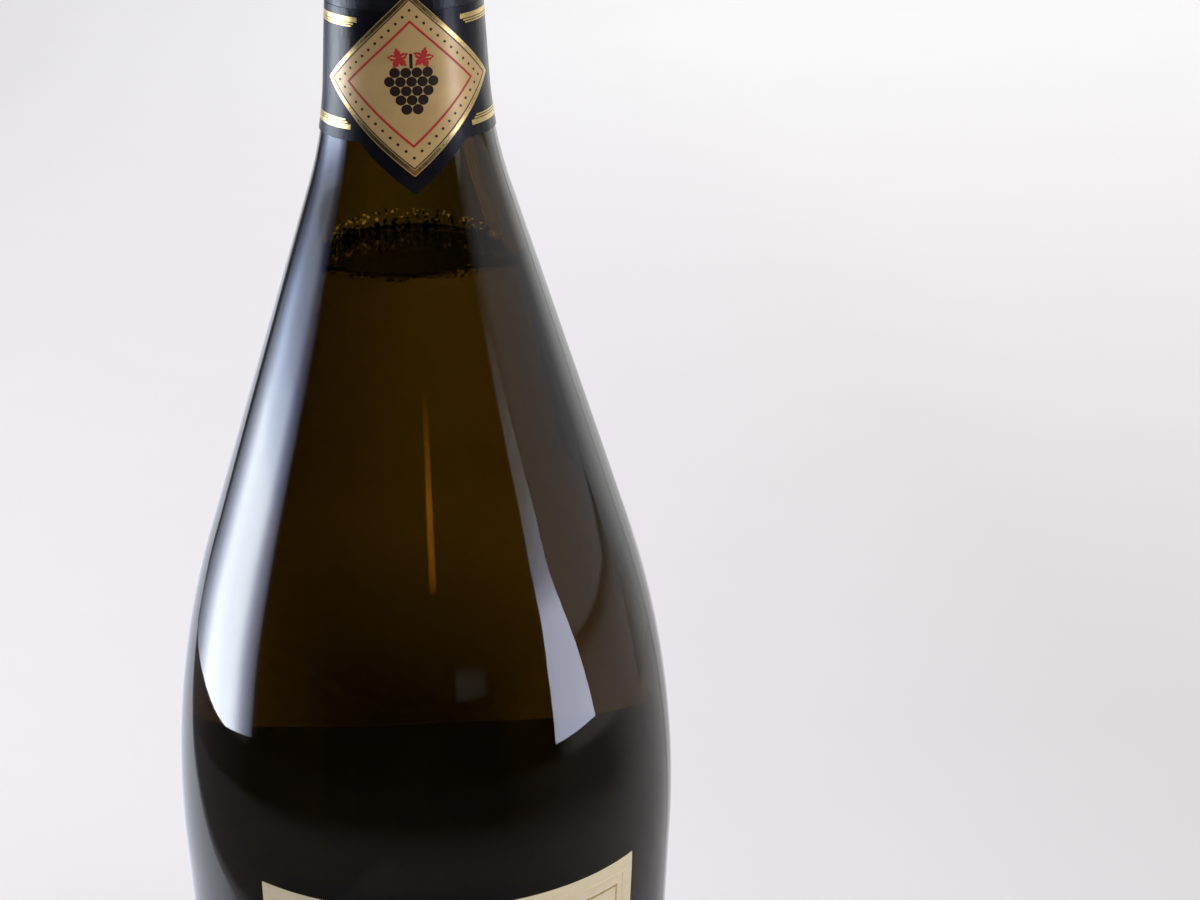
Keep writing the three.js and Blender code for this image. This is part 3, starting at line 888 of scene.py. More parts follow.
# Coated paper: smooth near-black ink under a thin varnish, a trace of paper fibre in its gloss, and slow
# waves where it has cockled on the glue, which break up its highlights.
fibre = 0.6
paper_scuff = 8
cockle_width = 3
coated_paper, tree, place = blank("Varnished black paper")
fibres = node(tree, "TexNoise", {"Vector": place, "Scale": 1 / (fibre * MM), "Detail": 3.0})
scuff = node(tree, "TexNoise", {"Vector": place, "Scale": 1 / (paper_scuff * MM), "Detail": 5.0})
tint = node(tree, "ValToRGB", {"Fac": scuff})
grade(tint, [(0, "#08070c"), (1, "#121019")])
dull = node(tree, "MapRange", {"Value": scuff, **middle_range, "To Min": 0.24, "To Max": 0.36})
cockle = node(tree, "Mapping", {"Vector": place, "Scale": (1.0, 1.0, 0.4)})
waves = node(tree, "TexNoise", {"Vector": cockle, "Scale": 1 / (cockle_width * MM), "Detail": 2.0})
wavy = node(tree, "Bump", {"Height": waves, "Strength": 0.35, "Distance": 0.0003})
bump = node(tree, "Bump", {"Height": fibres, "Strength": 0.12, "Distance": 0.0001, "Normal": wavy})
skin = node(
    tree,
    "BsdfPrincipled",
    {
        "Base Color": tint,
        "Roughness": dull,
        "Specular IOR Level": 0.25,
        "Normal": bump,
    },
)
node(tree, "OutputMaterial", {"Surface": skin})

collar_angles = np.linspace(neck_label_turn - math.pi, neck_label_turn + math.pi, 321)
collar_mesh = wrapped(collar_angles, 24, collar_edge, collar_top, collar_out, collar_thickness)
collar = make("neck_collar_paper", collar_mesh, coated_paper, 60)
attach(collar, "bottle")
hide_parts("neck_collar")


# Collar lines: gold foil stamped on the collar, a band and two fine lines near its top and near its bottom.
# They run round the neck and stop short of the medallion, so that a dark margin stays along its edges.
band_width = 0.84
fine_width = 0.26
line_gap = 0.15
upper_lines = collar_top - 1.3
lower_lines = collar_low + 1.85
medallion_middle = collar_top - 12
line_margin = 0.2
least_line_start = 0.3
line_shift = 0.8
stamp_thickness = 0.02
line_out = collar_out + collar_thickness


def line_start(z):
    """Angle from the medallion's middle at which a line at height z begins."""
    share = 1 + line_margin - abs(z - medallion_middle - line_shift) / medallion_half_height
    return medallion_half_width * max(share, least_line_start) / neck_label_radius


gold_lines = []
for edge, inward in ((upper_lines, -1), (lower_lines, 1)):
    for width in (band_width, fine_width, fine_width):
        z = edge + inward * width / 2
        begin = line_start(z)
        turn = np.linspace(neck_label_turn + begin, neck_label_turn + 2 * math.pi - begin, 220)
        gold_lines.append(wrapped(turn, 1, z - width / 2, z + width / 2, line_out, stamp_thickness))
        edge += inward * (width + line_gap)

# Stamped gold foil: bright warm metal, a little rough from the paper under it, with thin places.
gold_grain = 0.35
gold_patch = 4
gold_foil, tree, place = blank("Stamped gold foil")
grain = node(tree, "TexNoise", {"Vector": place, "Scale": 1 / (gold_grain * MM), "Detail": 3.0})
patches = node(tree, "TexNoise", {"Vector": place, "Scale": 1 / (gold_patch * MM), "Detail": 4.0})
tint = node(tree, "ValToRGB", {"Fac": patches})
grade(tint, [(0, "#c9a55c"), (1, "#ecd79a")])
dull = node(tree, "MapRange", {"Value": grain, **middle_range, "To Min": 0.24, "To Max": 0.4})
bump = node(tree, "Bump", {"Height": grain, "Strength": 0.15, "Distance": 0.00005})
skin = node(tree, "BsdfPrincipled", {"Base Color": tint, "Metallic": 1.0, "Roughness": dull, "Normal": bump})
node(tree, "OutputMaterial", {"Surface": skin})

stamped_lines = make("collar_gold_lines", joined(*gold_lines), gold_foil)
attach(stamped_lines, "bottle")


# Medallion: a diamond of satin metallic paper glued over the collar's front, its side corners wrapped round
# the neck. Frames of gold, dark and red ink run inside its edge round a plain bunch of grapes.
medallion_blunt = 0.5
medallion_out = line_out + 0.03
medallion_half_angle = (medallion_half_width - medallion_blunt) / neck_label_radius


def medallion_reach(a):
    arc = neck_label_radius * abs(a - neck_label_turn)
    return medallion_blunt + medallion_slope * (medallion_half_width - medallion_blunt - arc)


def inlaid(shapes, turn, height, radius, out, thickness):
    """Mesh of thin shapes laid on the bottle's side.

    A shape is an outer and an inner closed loop of (along, up) points. An inner loop of one point fills the
    shape and a longer one leaves it open.
    """

    def on_side(along, up, reach):
        z = height + up
        r = side_radius(z, reach) * MM
        a = turn + along / radius
        return (r * math.sin(a), -r * math.cos(a), z * MM)

    points, faces = [], []
    for outer, inner in shapes:
        starts = []
        for loop in (outer, inner):
            for reach in (out, out + thickness):
                starts.append(len(points))
                points += [on_side(along, up, reach) for along, up in loop]
        outer_low, outer_high, inner_low, inner_high = starts
        count, held = len(outer), len(inner)
        for i in range(count):
            j = (i + 1) % count
            m, n = i % held, j % held
            top = [outer_high + i, outer_high + j, inner_high + n, inner_high + m]
            under = [outer_low + j, outer_low + i, inner_low + m, inner_low + n]
            faces += [list(dict.fromkeys(top)), list(dict.fromkeys(under))]
            faces.append([outer_low + i, outer_low + j, outer_high + j, outer_high + i])
            if held > 1:
                faces.append([inner_low + n, inner_low + m, inner_high + m, inner_high + n])
    return points, faces


def polygon(corners, steps):
    """Closed loop through corners, with points along its sides."""
    ahead = corners[1:] + corners[:1]
    return [
        (x0 + (x1 - x0) * k / steps, y0 + (y1 - y0) * k / steps)
        for (x0, y0), (x1, y1) in zip(corners, ahead)
        for k in range(steps)
    ]


def diamond(share, steps=16):
    """Closed loop like the medallion's edge, at a share of its size."""
    wide, tall = medallion_half_width * share, medallion_half_height * share
    return polygon([(wide, 0), (0, tall), (-wide, 0), (0, -tall)], steps)


def round_dot(along, up, radius, count=24):
    turn = [2 * math.pi * k / count for k in range(count)]
    return [[(along + radius * math.cos(a), up + radius * math.sin(a)) for a in turn], [(along, up)]]


def vine_leaf(along, up, radius, lean):
    """A five-lobed leaf."""
    turn = [2 * math.pi * k / 60 for k in range(60)]
    edge = [radius * (0.72 + 0.2 * math.cos(5 * a) + 0.08 * math.cos(15 * a)) for a in turn]
    loop = [(along + r * math.cos(a + lean), up + r * math.sin(a + lean)) for a, r in zip(turn, edge)]
    return [loop, [(along, up)]]


def grape_bunch(along, up, size):
    """Rows of round grapes under a stalk and two leaves, `size` across at the widest row."""
    grape = size / 10
    shapes = []
    for row, count in enumerate((4, 5, 4, 3, 2)):
        for k in range(count):
            x = along + 2 * grape * (k - (count - 1) / 2)
            shapes.append(round_dot(x, up + 1.74 * grape * (1.5 - row), 0.97 * grape))
    stalk_low, stalk_high = up + 3.4 * grape, up + 6.2 * grape
    left, right = along - 0.3 * grape, along + 0.3 * grape
    stalk = [(right, stalk_low), (right, stalk_high), (left, stalk_high), (left, stalk_low)]
    shapes.append([polygon(stalk, 2), [(along, (stalk_low + stalk_high) / 2)]])
    shapes.append(vine_leaf(along - 2.3 * grape, up + 5.3 * grape, 2.1 * grape, 0.5))
    shapes.append(vine_leaf(along + 2.3 * grape, up + 5.3 * grape, 2.1 * grape, 2.6))
    return shapes


# Satin metallic paper: warm beige with a soft broad sheen and a fine pressed grain.
satin_grain = 0.25
satin_patch = 5
satin_paper, tree, place = blank("Satin metallic paper")
grain = node(tree, "TexNoise", {"Vector": place, "Scale": 1 / (satin_grain * MM), "Detail": 3.0})
patches = node(tree, "TexNoise", {"Vector": place, "Scale": 1 / (satin_patch * MM), "Detail": 4.0})
tint = node(tree, "ValToRGB", {"Fac": patches})
grade(tint, [(0, "#ae8f5c"), (1, "#c9a970")])
dull = node(tree, "MapRange", {"Value": grain, **middle_range, "To Min": 0.38, "To Max": 0.52})
bump = node(tree, "Bump", {"Height": grain, "Strength": 0.15, "Distance": 0.00005})
skin = node(
    tree,
    "BsdfPrincipled",
    {
        "Base Color": tint,
        "Metallic": 0.3,
        "Roughness": dull,
        "Coat Weight": 0.4,
        "Coat Roughness": 0.22,
        "Normal": bump,
    },
)
node(tree, "OutputMaterial", {"Surface": skin})

medallion_ends = (neck_label_turn - medallion_half_angle, neck_label_turn + medallion_half_angle)
medallion_mesh = wrapped(
    np.linspace(*medallion_ends, 129),
    20,
    lambda a: medallion_middle - medallion_reach(a),
    lambda a: medallion_middle + medallion_reach(a),
    medallion_out,
    collar_thickness,
)
medallion = make("neck_medallion_paper", medallion_mesh, satin_paper, 60)
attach(medallion, "bottle")
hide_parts("neck_medallion")

print_out = medallion_out + collar_thickness
on_medallion = (neck_label_turn, medallion_middle, neck_label_radius, print_out, stamp_thickness)
gold_frame = inlaid([(diamond(0.992), diamond(0.935))], *on_medallion)
medallion_gold = make("medallion_gold_frame", gold_frame, gold_foil)
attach(medallion_gold, "bottle")

# Printing ink on paper: thin flat colour with a slight mottle where the paper takes it unevenly.
ink_mottle = 0.5


def printed_ink(name, light, dark):
    made, tree, place = blank(name)
    mottle = node(tree, "TexNoise", {"Vector": place, "Scale": 1 / (ink_mottle * MM), "Detail": 3.0})
    tint = node(tree, "ValToRGB", {"Fac": mottle})
    grade(tint, [(0, dark), (1, light)])
    dull = node(tree, "MapRange", {"Value": mottle, "To Min": 0.3, "To Max": 0.5})
    skin = node(tree, "BsdfPrincipled", {"Base Color": tint, "Roughness": dull})
    node(tree, "OutputMaterial", {"Surface": skin})
    return made


red_ink = printed_ink("Red printing ink", "#b32420", "#8c1614")
dark_ink = printed_ink("Dark brown printing ink", "#2c1d14", "#190f0b")

bunch = grape_bunch(0, -0.4, 8.8)
red_shapes = [(diamond(0.695), diamond(0.66)), *bunch[-2:]]
red_frame = make("medallion_red_frame", inlaid(red_shapes, *on_medallion), red_ink)
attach(red_frame, "bottle")
beads_a_side = 11
bead_line = diamond(0.8, beads_a_side)
beads = [round_dot(x, y, 0.24, 12) for x, y in bead_line]
dark_shapes = [(diamond(0.925), diamond(0.908)), *bunch[:-2], *beads]
dark_print = make("medallion_dark_print", inlaid(dark_shapes, *on_medallion), dark_ink)
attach(dark_print, "bottle")


# Body labels: cream paper, front and back, glued on just below the widest part of the body.
# They are flat sheets on a tapered body, so their edges sag in the middle. Each has a pressed rule inside
# its edge and a thin gold one; the front one carries a plain bunch of grapes.
label_out = 0.15
paper_thickness = 0.15
label_radius = body_radius + label_out + paper_thickness
front_half_angle = math.radians(46.75)
back_half_angle = math.radians(40)
rule_inset = 2.3
rule_width = 0.45
rule_height = 0.06
gold_rule_inset = 2.0
gold_rule_width = 0.3
label_edge_radius = 460

# Laid paper, uncoated: cream, soft and dull, with close ribs from the mould and a scatter of longer fibres.
# Real ribs are about 0.8 mm apart; they are drawn a little wider so that they show.
rib_pitch = 1.1
fibre_length = 2.0
laid_paper, tree, place = blank("Cream laid paper")
ribs = node(
    tree,
    "TexWave",
    {"Vector": place, "Scale": math.pi / (10 * rib_pitch * MM), "Distortion": 1.0, "Detail": 1.0},
    bands_direction="Z",
)
strand = node(tree, "Mapping", {"Vector": place, "Scale": (1.0, 1.0, 4.0)})
fibres = node(tree, "TexNoise", {"Vector": strand, "Scale": 1 / (fibre_length * MM), "Detail": 5.0})
tint = node(tree, "ValToRGB", {"Fac": fibres})
grade(tint, [(0, "#cec09c"), (1, "#e2d6b7")])
height = node(tree, "Math", {0: ribs.outputs["Fac"], 1: fibres}, operation="ADD")
bump = node(tree, "Bump", {"Height": height, "Strength": 0.25, "Distance": 0.00008})
dull = node(tree, "MapRange", {"Value": fibres, "To Min": 0.55, "To Max": 0.75})
skin = node(tree, "BsdfPrincipled", {"Base Color": tint, "Roughness": dull, "Normal": bump})
node(tree, "OutputMaterial", {"Surface": skin})


def rectangle(half_width, half_height):
    corners = [(half_width, -half_height), (half_width, half_height), (-half_width, half_height)]
    return polygon([*corners, (-half_width, -half_height)], 40)


def sag(along):
    """How much higher a label's edge is than at its middle."""
    return along**2 / (2 * label_edge_radius)


def sagged(shapes):
    """Shapes on a label, lifted towards its sides as the sheet's edges are."""
    return [[[(s, up + sag(s)) for s, up in loop] for loop in shape] for shape in shapes]


for name, middle, half_angle in (("front", 0, front_half_angle), ("back", math.pi, back_half_angle)):
    low, top = (corner.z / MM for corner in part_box(f"{name}_label"))
    high = top - sag(body_radius * half_angle)
    sheet = wrapped(
        np.linspace(middle - half_angle, middle + half_angle, 97),
        42,
        lambda a: low + sag(body_radius * (a - middle)),
        lambda a: high + sag(body_radius * (a - middle)),
        label_out,
        paper_thickness,
    )
    label = make(f"{name}_label_paper", sheet, laid_paper, 60)
    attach(label, "bottle")
    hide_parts(f"{name}_label")

    half_width, half_height = half_angle * label_radius, (high - low) / 2
    on_label = (middle, (low + high) / 2, label_radius, label_out + paper_thickness)
    wide, tall = half_width - rule_inset, half_height - rule_inset
    rule = [(rectangle(wide, tall), rectangle(wide - rule_width, tall - rule_width))]
    pressed = make(f"{name}_label_pressed_rule", inlaid(sagged(rule), *on_label, rule_height), laid_paper)
    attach(pressed, "bottle")
    wide, tall = wide - gold_rule_inset, tall - gold_rule_inset
    thin = [(rectangle(wide, tall), rectangle(wide - gold_rule_width, tall - gold_rule_width))]
    gold_rule = make(f"{name}_label_gold_rule", inlaid(sagged(thin), *on_label, stamp_thickness), gold_foil)
    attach(gold_rule, "bottle")
    if name == "front":
        print_shapes = grape_bunch(0, 2, 24)
        ornament = make("front_label_ornament", inlaid(print_shapes, *on_label, stamp_thickness), dark_ink)
        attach(ornament, "bottle")


# Studio: a pale paper floor under two large softboxes. Lit panels stand round the bottle and dark cloth,
# painted shade, lies in front of it: they are there for the glass, and only reflections see them.
floor_half = 6.0

# Pale paper: dull and nearly white, with painted light and shade in its tone: cool on the left, painted
# darker and warmer near the bottle's right, and painted brighter far off on the right, as the light falls.
paper_pulp = 40
floor_paper, tree, place = blank("Pale studio paper")
pulp = node(tree, "TexNoise", {"Vector": place, "Scale": 1 / (paper_pulp * MM), "Detail": 4.0})
tint = node(tree, "ValToRGB", {"Fac": pulp})
grade(tint, [(0, "#fdfdfd"), (1, "#ffffff")])
spot = node(tree, "SeparateXYZ", {"Vector": place})
# The tone across and away from the bottle is painted light and shade, not the paper's own colour.
across = node(tree, "MapRange", {"Value": spot.outputs["X"], "From Min": -0.1, "From Max": 0.3})
near = node(tree, "ValToRGB", {"Fac": across})
grade(near, [(0, "#f5f4f7"), (0.8, "#dad6d6")])
far = node(tree, "ValToRGB", {"Fac": across})
grade(far, [(0, "#e8e7ea"), (0.95, "#fdfdfb")])
away = node(tree, "MapRange", {"Value": spot.outputs["Y"], "From Min": 0.25, "From Max": 1.15})
tone = node(tree, "Mix", {"Factor": away, 6: near, 7: far}, data_type="RGBA")
painted_falloff_paper = node(tree, "VectorMath", {0: tint, 1: tone.outputs[2]}, operation="MULTIPLY")
skin = node(tree, "BsdfPrincipled", {"Base Color": painted_falloff_paper, "Roughness": 0.9, "Specular IOR Level": 0.0})
node(tree, "OutputMaterial", {"Surface": skin})
corners = [(-floor_half, -floor_half, 0), (floor_half, -floor_half, 0), (floor_half, floor_half, 0)]
floor = make("studio_floor", ([*corners, (-floor_half, floor_half, 0)], [[0, 1, 2, 3]]), floor_paper)

for name, width, power, at, toward in (
    ("front_softbox", 2.4, 50, (0.95, -0.55, 2.0), (0, 0.2, 0.1)),
    ("back_softbox", 2.0, 14, (0, 1.7, 1.6), (0, 1.7, 0)),
):
    lamp = bpy.data.lights.new(name, "AREA")
    lamp.size = width
    lamp.energy = power
    lamp.color = linear("#fefdff")[:3]
    held = bpy.data.objects.new(name, lamp)
    held.location = at
    held.rotation_mode = "QUATERNION"
    held.rotation_quaternion = (Vector(toward) - Vector(at)).to_track_quat("-Z", "Y")
    bpy.context.scene.collection.objects.link(held)


def bearing(tree, place):
    """The angle round the bottle as a share of a turn, 0.5 at the front."""
    spot = node(tree, "SeparateXYZ", {"Vector": place})
    back = node(tree, "Math", {0: spot.outputs["Y"], 1: -1.0}, operation="MULTIPLY")
    angle = node(tree, "Math", {0: spot.outputs["X"], 1: back}, operation="ARCTAN2")
    return node(tree, "Math", {0: angle, 1: 1 / (2 * math.pi), 2: 0.5}, operation="MULTIPLY_ADD")


def round_stops(*stops):
    """Ramp stops for (degrees round the bottle, grey level or hex colour) pairs."""
    return [(0.5 + a / 360, level) for a, level in stops]


# Room: pale to the eye and through the glass, but dark in front for reflections.
world = bpy.data.worlds.new("Pale studio")
bpy.context.scene.world = world
world.use_nodes = True
world.node_tree.nodes.clear()
tree = world.node_tree
ray = node(tree, "LightPath")
to_eye = {0: ray.outputs["Is Camera Ray"], 1: ray.outputs["Is Transmission Ray"]}
seen = node(tree, "Math", to_eye, operation="MAXIMUM")
mirrored = node(tree, "ValToRGB", {"Fac": bearing(tree, node(tree, "TexCoord").outputs["Generated"])})
room_left = [(-180, 0.95), (-150, 0.6), (-95, 0.007)]
room_right = [(52, 0.007), (66, 0.55), (110, 0.65), (135, 0.85), (180, 0.95)]
grade(mirrored, round_stops(*room_left, *room_right))
fill = node(tree, "Math", {0: seen, 1: 0.6, 2: 0.3}, operation="MULTIPLY_ADD")
strength = node(tree, "Mix", {"Factor": ray.outputs["Is Glossy Ray"], 2: fill, 3: mirrored})
sky = node(tree, "Background", {"Color": linear("#f5f4f8"), "Strength": strength})
node(tree, "OutputWorld", {"Surface": sky})


def shown_to(ray_kind, made):
    """Stages a sheet that only one kind of light ray meets."""
    for kind in ("camera", "diffuse", "glossy", "transmission", "shadow"):
        setattr(made, f"visible_{kind}", kind == ray_kind)


def only_reflected(name, lines, material):
    """A sheet that shows only in reflections, from lines of (degrees round the bottle, distance, height)."""
    points = []
    for line in lines:
        points += [(r * math.sin(math.radians(a)), -r * math.cos(math.radians(a)), z) for a, r, z in line]
    rows = len(lines[0])
    faces = [
        [i * rows + j, (i + 1) * rows + j, (i + 1) * rows + j + 1, i * rows + j + 1]
        for i in range(len(lines) - 1)
        for j in range(rows - 1)
    ]
    shown_to("glossy", make(name, (points, faces), material))


def upright(angles, low, high, rows):
    """Lines of a sheet that stands at the panels' distance."""
    return [[(a, panel_distance, z) for z in np.linspace(low, high, rows)] for a in angles]


def lit_cloth(name, strength, around, upward, fall=0, level_at=0):
    """Glowing diffuser cloth, coloured by the angle round the bottle and by its height.

    The height counts as more to the left of level_at, by fall metres in a whole turn.
    """
    made, tree, place = blank(name)
    turn = bearing(tree, place)
    sideways = node(tree, "ValToRGB", {"Fac": turn})
    grade(sideways, round_stops(*around))
    level = fall * (0.5 + level_at / 360)
    tilt = node(tree, "Math", {0: turn, 1: -fall, 2: level}, operation="MULTIPLY_ADD")
    height = node(tree, "SeparateXYZ", {"Vector": place}).outputs["Z"]
    shade = node(tree, "ValToRGB", {"Fac": node(tree, "Math", {0: height, 1: tilt}, operation="ADD")})
    grade(shade, upward)
    colour = node(tree, "VectorMath", {0: sideways, 1: shade}, operation="MULTIPLY")
    light = node(tree, "Emission", {"Color": colour, "Strength": strength})
    node(tree, "OutputMaterial", {"Surface": light})
    return made


# Left panel: tall cloth lit from behind, dimmer and bluer towards its top and its sides. The bottle shows it
# as the long highlight on its left. The panel's foot rises from the floor towards the front.
panel_distance = 0.55
panel_height = 0.34
left_foot_start = -111
left_foot_rise = 0.0008
left_lines = []
for a in np.linspace(-150, -88, 22):
    foot_height = max(0, left_foot_rise * (a - left_foot_start))
    left_lines += upright([a], foot_height, panel_height, 12)
left_cloth = lit_cloth(
    "Left lit panel",
    13.2,
    [
        (-150, "#27272b"),
        (-143.5, "#545459"),
        (-138.5, "#737379"),
        (-132.5, "#ababb0"),
        (-127.5, "#dcdcde"),
        (-124.5, "#e8e8e8"),
        (-109, "#ffffff"),
        (-105.5, "#ffffff"),
        (-103, "#f3f3f6"),
        (-101, "#d4d4dc"),
        (-97.5, "#9d9daa"),
        (-91, "#4c4c57"),
        (-90, "#111114"),
    ],
    [
        (0.175, "#e8f0fc"),
        (0.191, "#e2ebf8"),
        (0.203, "#c7d3e6"),
        (0.22, "#aebbd4"),
        (0.233, "#919db7"),
        (0.248, "#798297"),
        (0.27, "#6c7382"),
        (0.278, "#555a65"),
        (panel_height, "#333438"),
    ],
    fall=0.47,
    level_at=-110,
)
only_reflected("left_panel", left_lines, left_cloth)

# Right panel: a narrower one, slanting, for the highlight on the right.
right_start = 53
right_bottom = 0.033
right_widest = 79
right_slant = -65
right_lines = []
for share in np.linspace(0, 1, 10):
    heights = np.linspace(right_bottom, panel_height, 12)
    spread = [(right_widest + right_slant * z - right_start) * share for z in heights]
    right_lines.append([(right_start + s, panel_distance, z) for s, z in zip(spread, heights)])
right_cloth = lit_cloth(
    "Right lit panel",
    8.6,
    [(50, 0.9), (58, 1.0), (80, 1.0)],
    [(0, "#dfe4fe"), (0.19, "#dfe4fe"), (0.24, "#9097ab"), (0.27, "#656868"), (panel_height, "#262626")],
)
only_reflected("right_panel", right_lines, right_cloth)

# Right back wall: a dim wall behind the bottle that glows with painted light, for the grey rim on its right.
rim_cloth = lit_cloth(
    "Right back wall",
    1.3,
    [(112, 0.4), (119, 0.62), (128, 0.85), (135, 0.97), (145, 1.0), (152, 0.98), (162, 0.78), (170, 0.7)],
    [(0, 0.58), (0.05, 0.63), (0.075, 0.68), (0.1, 0.78), (0.13, 0.89), (0.16, 1.0)],
)
only_reflected("right_back_wall", upright(np.linspace(112, 170, 21), 0, panel_height, 12), rim_cloth)

# Far window: two dim panes across the room, for the faint square low in the middle.
window_panes = lit_cloth(
    "Far window",
    0.3,
    [(7, 0.0), (8.5, 1.0), (14, 1.0), (14.8, 0.4), (15.6, 1.0), (20, 0.8), (23, 0.0)],
    [(0.13, "#000000"), (0.138, "#c9ccc8"), (0.165, "#c9ccc8"), (0.185, "#000000")],
)
only_reflected("far_window", upright(np.linspace(7, 23, 25), 0.13, 0.185, 5), window_panes)

# Small warm lamp: a thin amber streak down the front.
warm_lamp = lit_cloth(
    "Small warm lamp",
    3.6,
    [(-2, 0.1), (-1, 1.0), (1, 1.0), (2, 0.1)],
    [(0.285, "#000000"), (0.3, "#d27f27"), (0.318, "#fb9a30"), (0.335, "#a5641d"), (0.36, "#000000")],
)
only_reflected("warm_lamp", upright(np.linspace(-2, 2, 9), 0.285, 0.36, 7), warm_lamp)

# Bright paper: a glowing sheet of painted light, seen only in reflections, that shows the floor on the left,
# close to the panel, brighter and bluer than the camera sees.
paper_left = -0.18
paper_lean = 0.23
paper_start = 0.01
paper_full = 0.08
paper_right = -0.03
paper_end = 1.2
paper_height = 0.003
painted_light_paper, tree, place = blank("Painted light on the paper at left")
spot = node(tree, "SeparateXYZ", {"Vector": place})
shown = node(tree, "MapRange", {"Value": spot.outputs["Y"], "From Min": paper_start, "From Max": paper_full})
light = node(tree, "Emission", {"Color": linear("#e9edfa"), "Strength": 1.28})
gap = node(tree, "BsdfTransparent")
sheet = node(tree, "MixShader", {"Fac": shown, 1: gap, 2: light})
node(tree, "OutputMaterial", {"Surface": sheet})
paper_rows = [paper_start, paper_full, 0.3, paper_end]
paper_lines = [[(paper_left - paper_lean * y + inset, y) for y in paper_rows] for inset in (0, 0.03)]
paper_lines.append([(paper_right, y) for y in paper_rows])
round_lines = [
    [(math.degrees(math.atan2(x, -y)), math.hypot(x, y), paper_height) for x, y in line]
    for line in reversed(paper_lines)
]
only_reflected("painted_light_paper", round_lines, painted_light_paper)

# Black cloth: a dark sheet on the floor, seen only in reflections. In front of the bottle it is painted
# shade on the floor that the glass mirrors; beyond the paper's left edge it is the dark bare floor. It thins
# out towards the right and the back.
cloth_height = 0.002
near_cover = [(-120, 0), (-92, 0.48), (-70, 0.74), (0, 0.81), (41, 0.74), (60, 0.62), (105, 0.4)]
near_cover += [(125, 0.3), (150, 0.06), (180, 0.06)]
middle_cover = [(-146, 0), (-138, 0.85), (-90, 0.97), (30, 0.96), (60, 0.85), (82, 0.82), (104, 0.45)]
middle_cover += [(150, 0)]
far_cover = [(-97, 0), (-92, 0.99), (54, 0.99), (66, 0.45), (110, 0.35), (150, 0)]
front_shade_cloth, tree, place = blank("Black cloth")
turn = bearing(tree, place)
covers = []
for stops in (near_cover, middle_cover, far_cover):
    ramp = node(tree, "ValToRGB", {"Fac": turn})
    grade(ramp, round_stops(*stops))
    covers.append(ramp)
reach = node(tree, "VectorMath", {0: place}, operation="LENGTH").outputs["Value"]
to_middle = node(tree, "MapRange", {"Value": reach, "From Min": 0.28, "From Max": 0.4})
to_far = node(tree, "MapRange", {"Value": reach, "From Min": 0.55, "From Max": 0.62})
cover = node(tree, "Mix", {"Factor": to_middle, 2: covers[0], 3: covers[1]})
cover = node(tree, "Mix", {"Factor": to_far, 2: cover, 3: covers[2]})
spot = node(tree, "SeparateXYZ", {"Vector": place})
lean = {0: spot.outputs["Y"], 1: paper_lean, 2: spot.outputs["X"]}
leaning = node(tree, "Math", lean, operation="MULTIPLY_ADD")
paper_edge = {"Value": leaning, "From Min": paper_left - 0.02, "From Max": paper_left + 0.01}
beyond = node(tree, "MapRange", {**paper_edge, "To Min": 0.83, "To Max": 0.0})
cover = node(tree, "Math", {0: cover, 1: beyond}, operation="MAXIMUM")
black = node(tree, "BsdfDiffuse", {"Color": linear("#040404")})
gap = node(tree, "BsdfTransparent")
cloth = node(tree, "MixShader", {"Fac": cover, 1: gap, 2: black})
node(tree, "OutputMaterial", {"Surface": cloth})
cloth_rows = (0.06, 0.28, 0.4, 0.55, 0.62, 9.0)
cloth_lines = [[(a, r, cloth_height) for r in cloth_rows] for a in np.linspace(-180, 180, 73)]
only_reflected("front_shade_cloth", cloth_lines, front_shade_cloth)

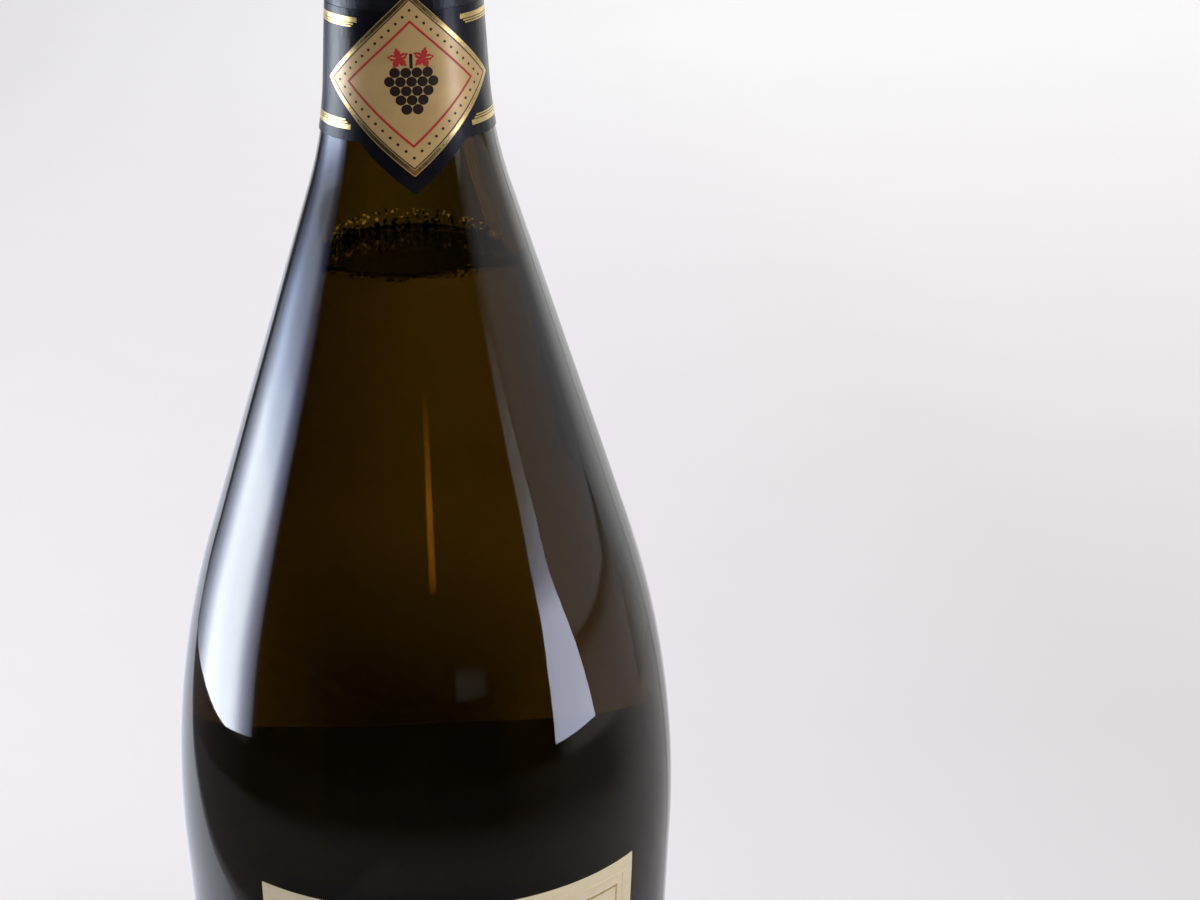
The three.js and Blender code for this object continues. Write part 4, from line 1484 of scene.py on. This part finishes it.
# Graded gauze: painted shade that stands behind the bottle, and only what is seen through the glass passes
# it. It dims that light towards one side and the top, and its soft dark disc low in the middle is a painted
# shadow of the bottle on the floor behind it. A black sheet of painted shadow lies before it.
gauze_behind = 0.15
gauze_half = 0.075
gauze_top = 0.26
behind_start = 0.05
painted_shadow_middle = (0.018, gauze_behind, 0.039)
gauze, tree, place = blank("Graded gauze")
spot = node(tree, "SeparateXYZ", {"Vector": place})
from_painted_shadow = node(tree, "VectorMath", {0: place, 1: painted_shadow_middle}, operation="DISTANCE").outputs["Value"]
clear = node(tree, "MapRange", {"Value": from_painted_shadow, "From Min": 0.014, "From Max": 0.036})
side_range = {"Value": spot.outputs["X"], "From Min": -0.005, "From Max": 0.035}
sideways = node(tree, "MapRange", {**side_range, "To Min": 1.0, "To Max": 0.64})
top_range = {"Value": spot.outputs["Z"], "From Min": 0.13, "From Max": 0.16}
upward = node(tree, "MapRange", {**top_range, "To Min": 1.0, "To Max": 0.55})
passed = node(tree, "Math", {0: clear, 1: sideways}, operation="MULTIPLY")
passed = node(tree, "Math", {0: passed, 1: upward}, operation="MULTIPLY")
thin = node(tree, "BsdfTransparent", {"Color": passed})
node(tree, "OutputMaterial", {"Surface": thin})
# A black sheet on the floor behind the bottle: painted shadow of the bottle, seen only through the glass.
painted_shadow_behind, tree, place = blank("Painted shadow behind")
black = node(tree, "BsdfDiffuse", {"Color": linear("#040404")})
node(tree, "OutputMaterial", {"Surface": black})
for name, low, high, material in (
    ("gauze_screen", (gauze_behind, paper_height), (gauze_behind, gauze_top), gauze),
    ("painted_shadow_behind", (behind_start, paper_height), (gauze_behind, paper_height), painted_shadow_behind),
):
    corners = [(-gauze_half, *low), (gauze_half, *low), (gauze_half, *high), (-gauze_half, *high)]
    shown_to("transmission", make(name, (corners, [[0, 1, 2, 3]]), material))

# Camera: a long lens in front of the bottle and a little to its left, looking down.
photo_camera = bpy.data.cameras.new("photo_camera")
photo_camera.lens = 105
photo_camera.sensor_width = 36
camera = bpy.data.objects.new("photo_camera", photo_camera)
look_down = math.radians(18.4)
aim = Matrix.Rotation(math.radians(-9.15), 4, "Z") @ Matrix.Rotation(math.pi / 2 - look_down, 4, "X")
aim = aim @ Matrix.Rotation(math.radians(-0.747), 4, "Z")
camera.matrix_world = Matrix.Translation(Vector((-61.21, -581.84, 364.85)) * MM) @ aim
bpy.context.scene.collection.objects.link(camera)
bpy.context.scene.camera = camera
bpy.context.scene.view_settings.view_transform = "Standard"
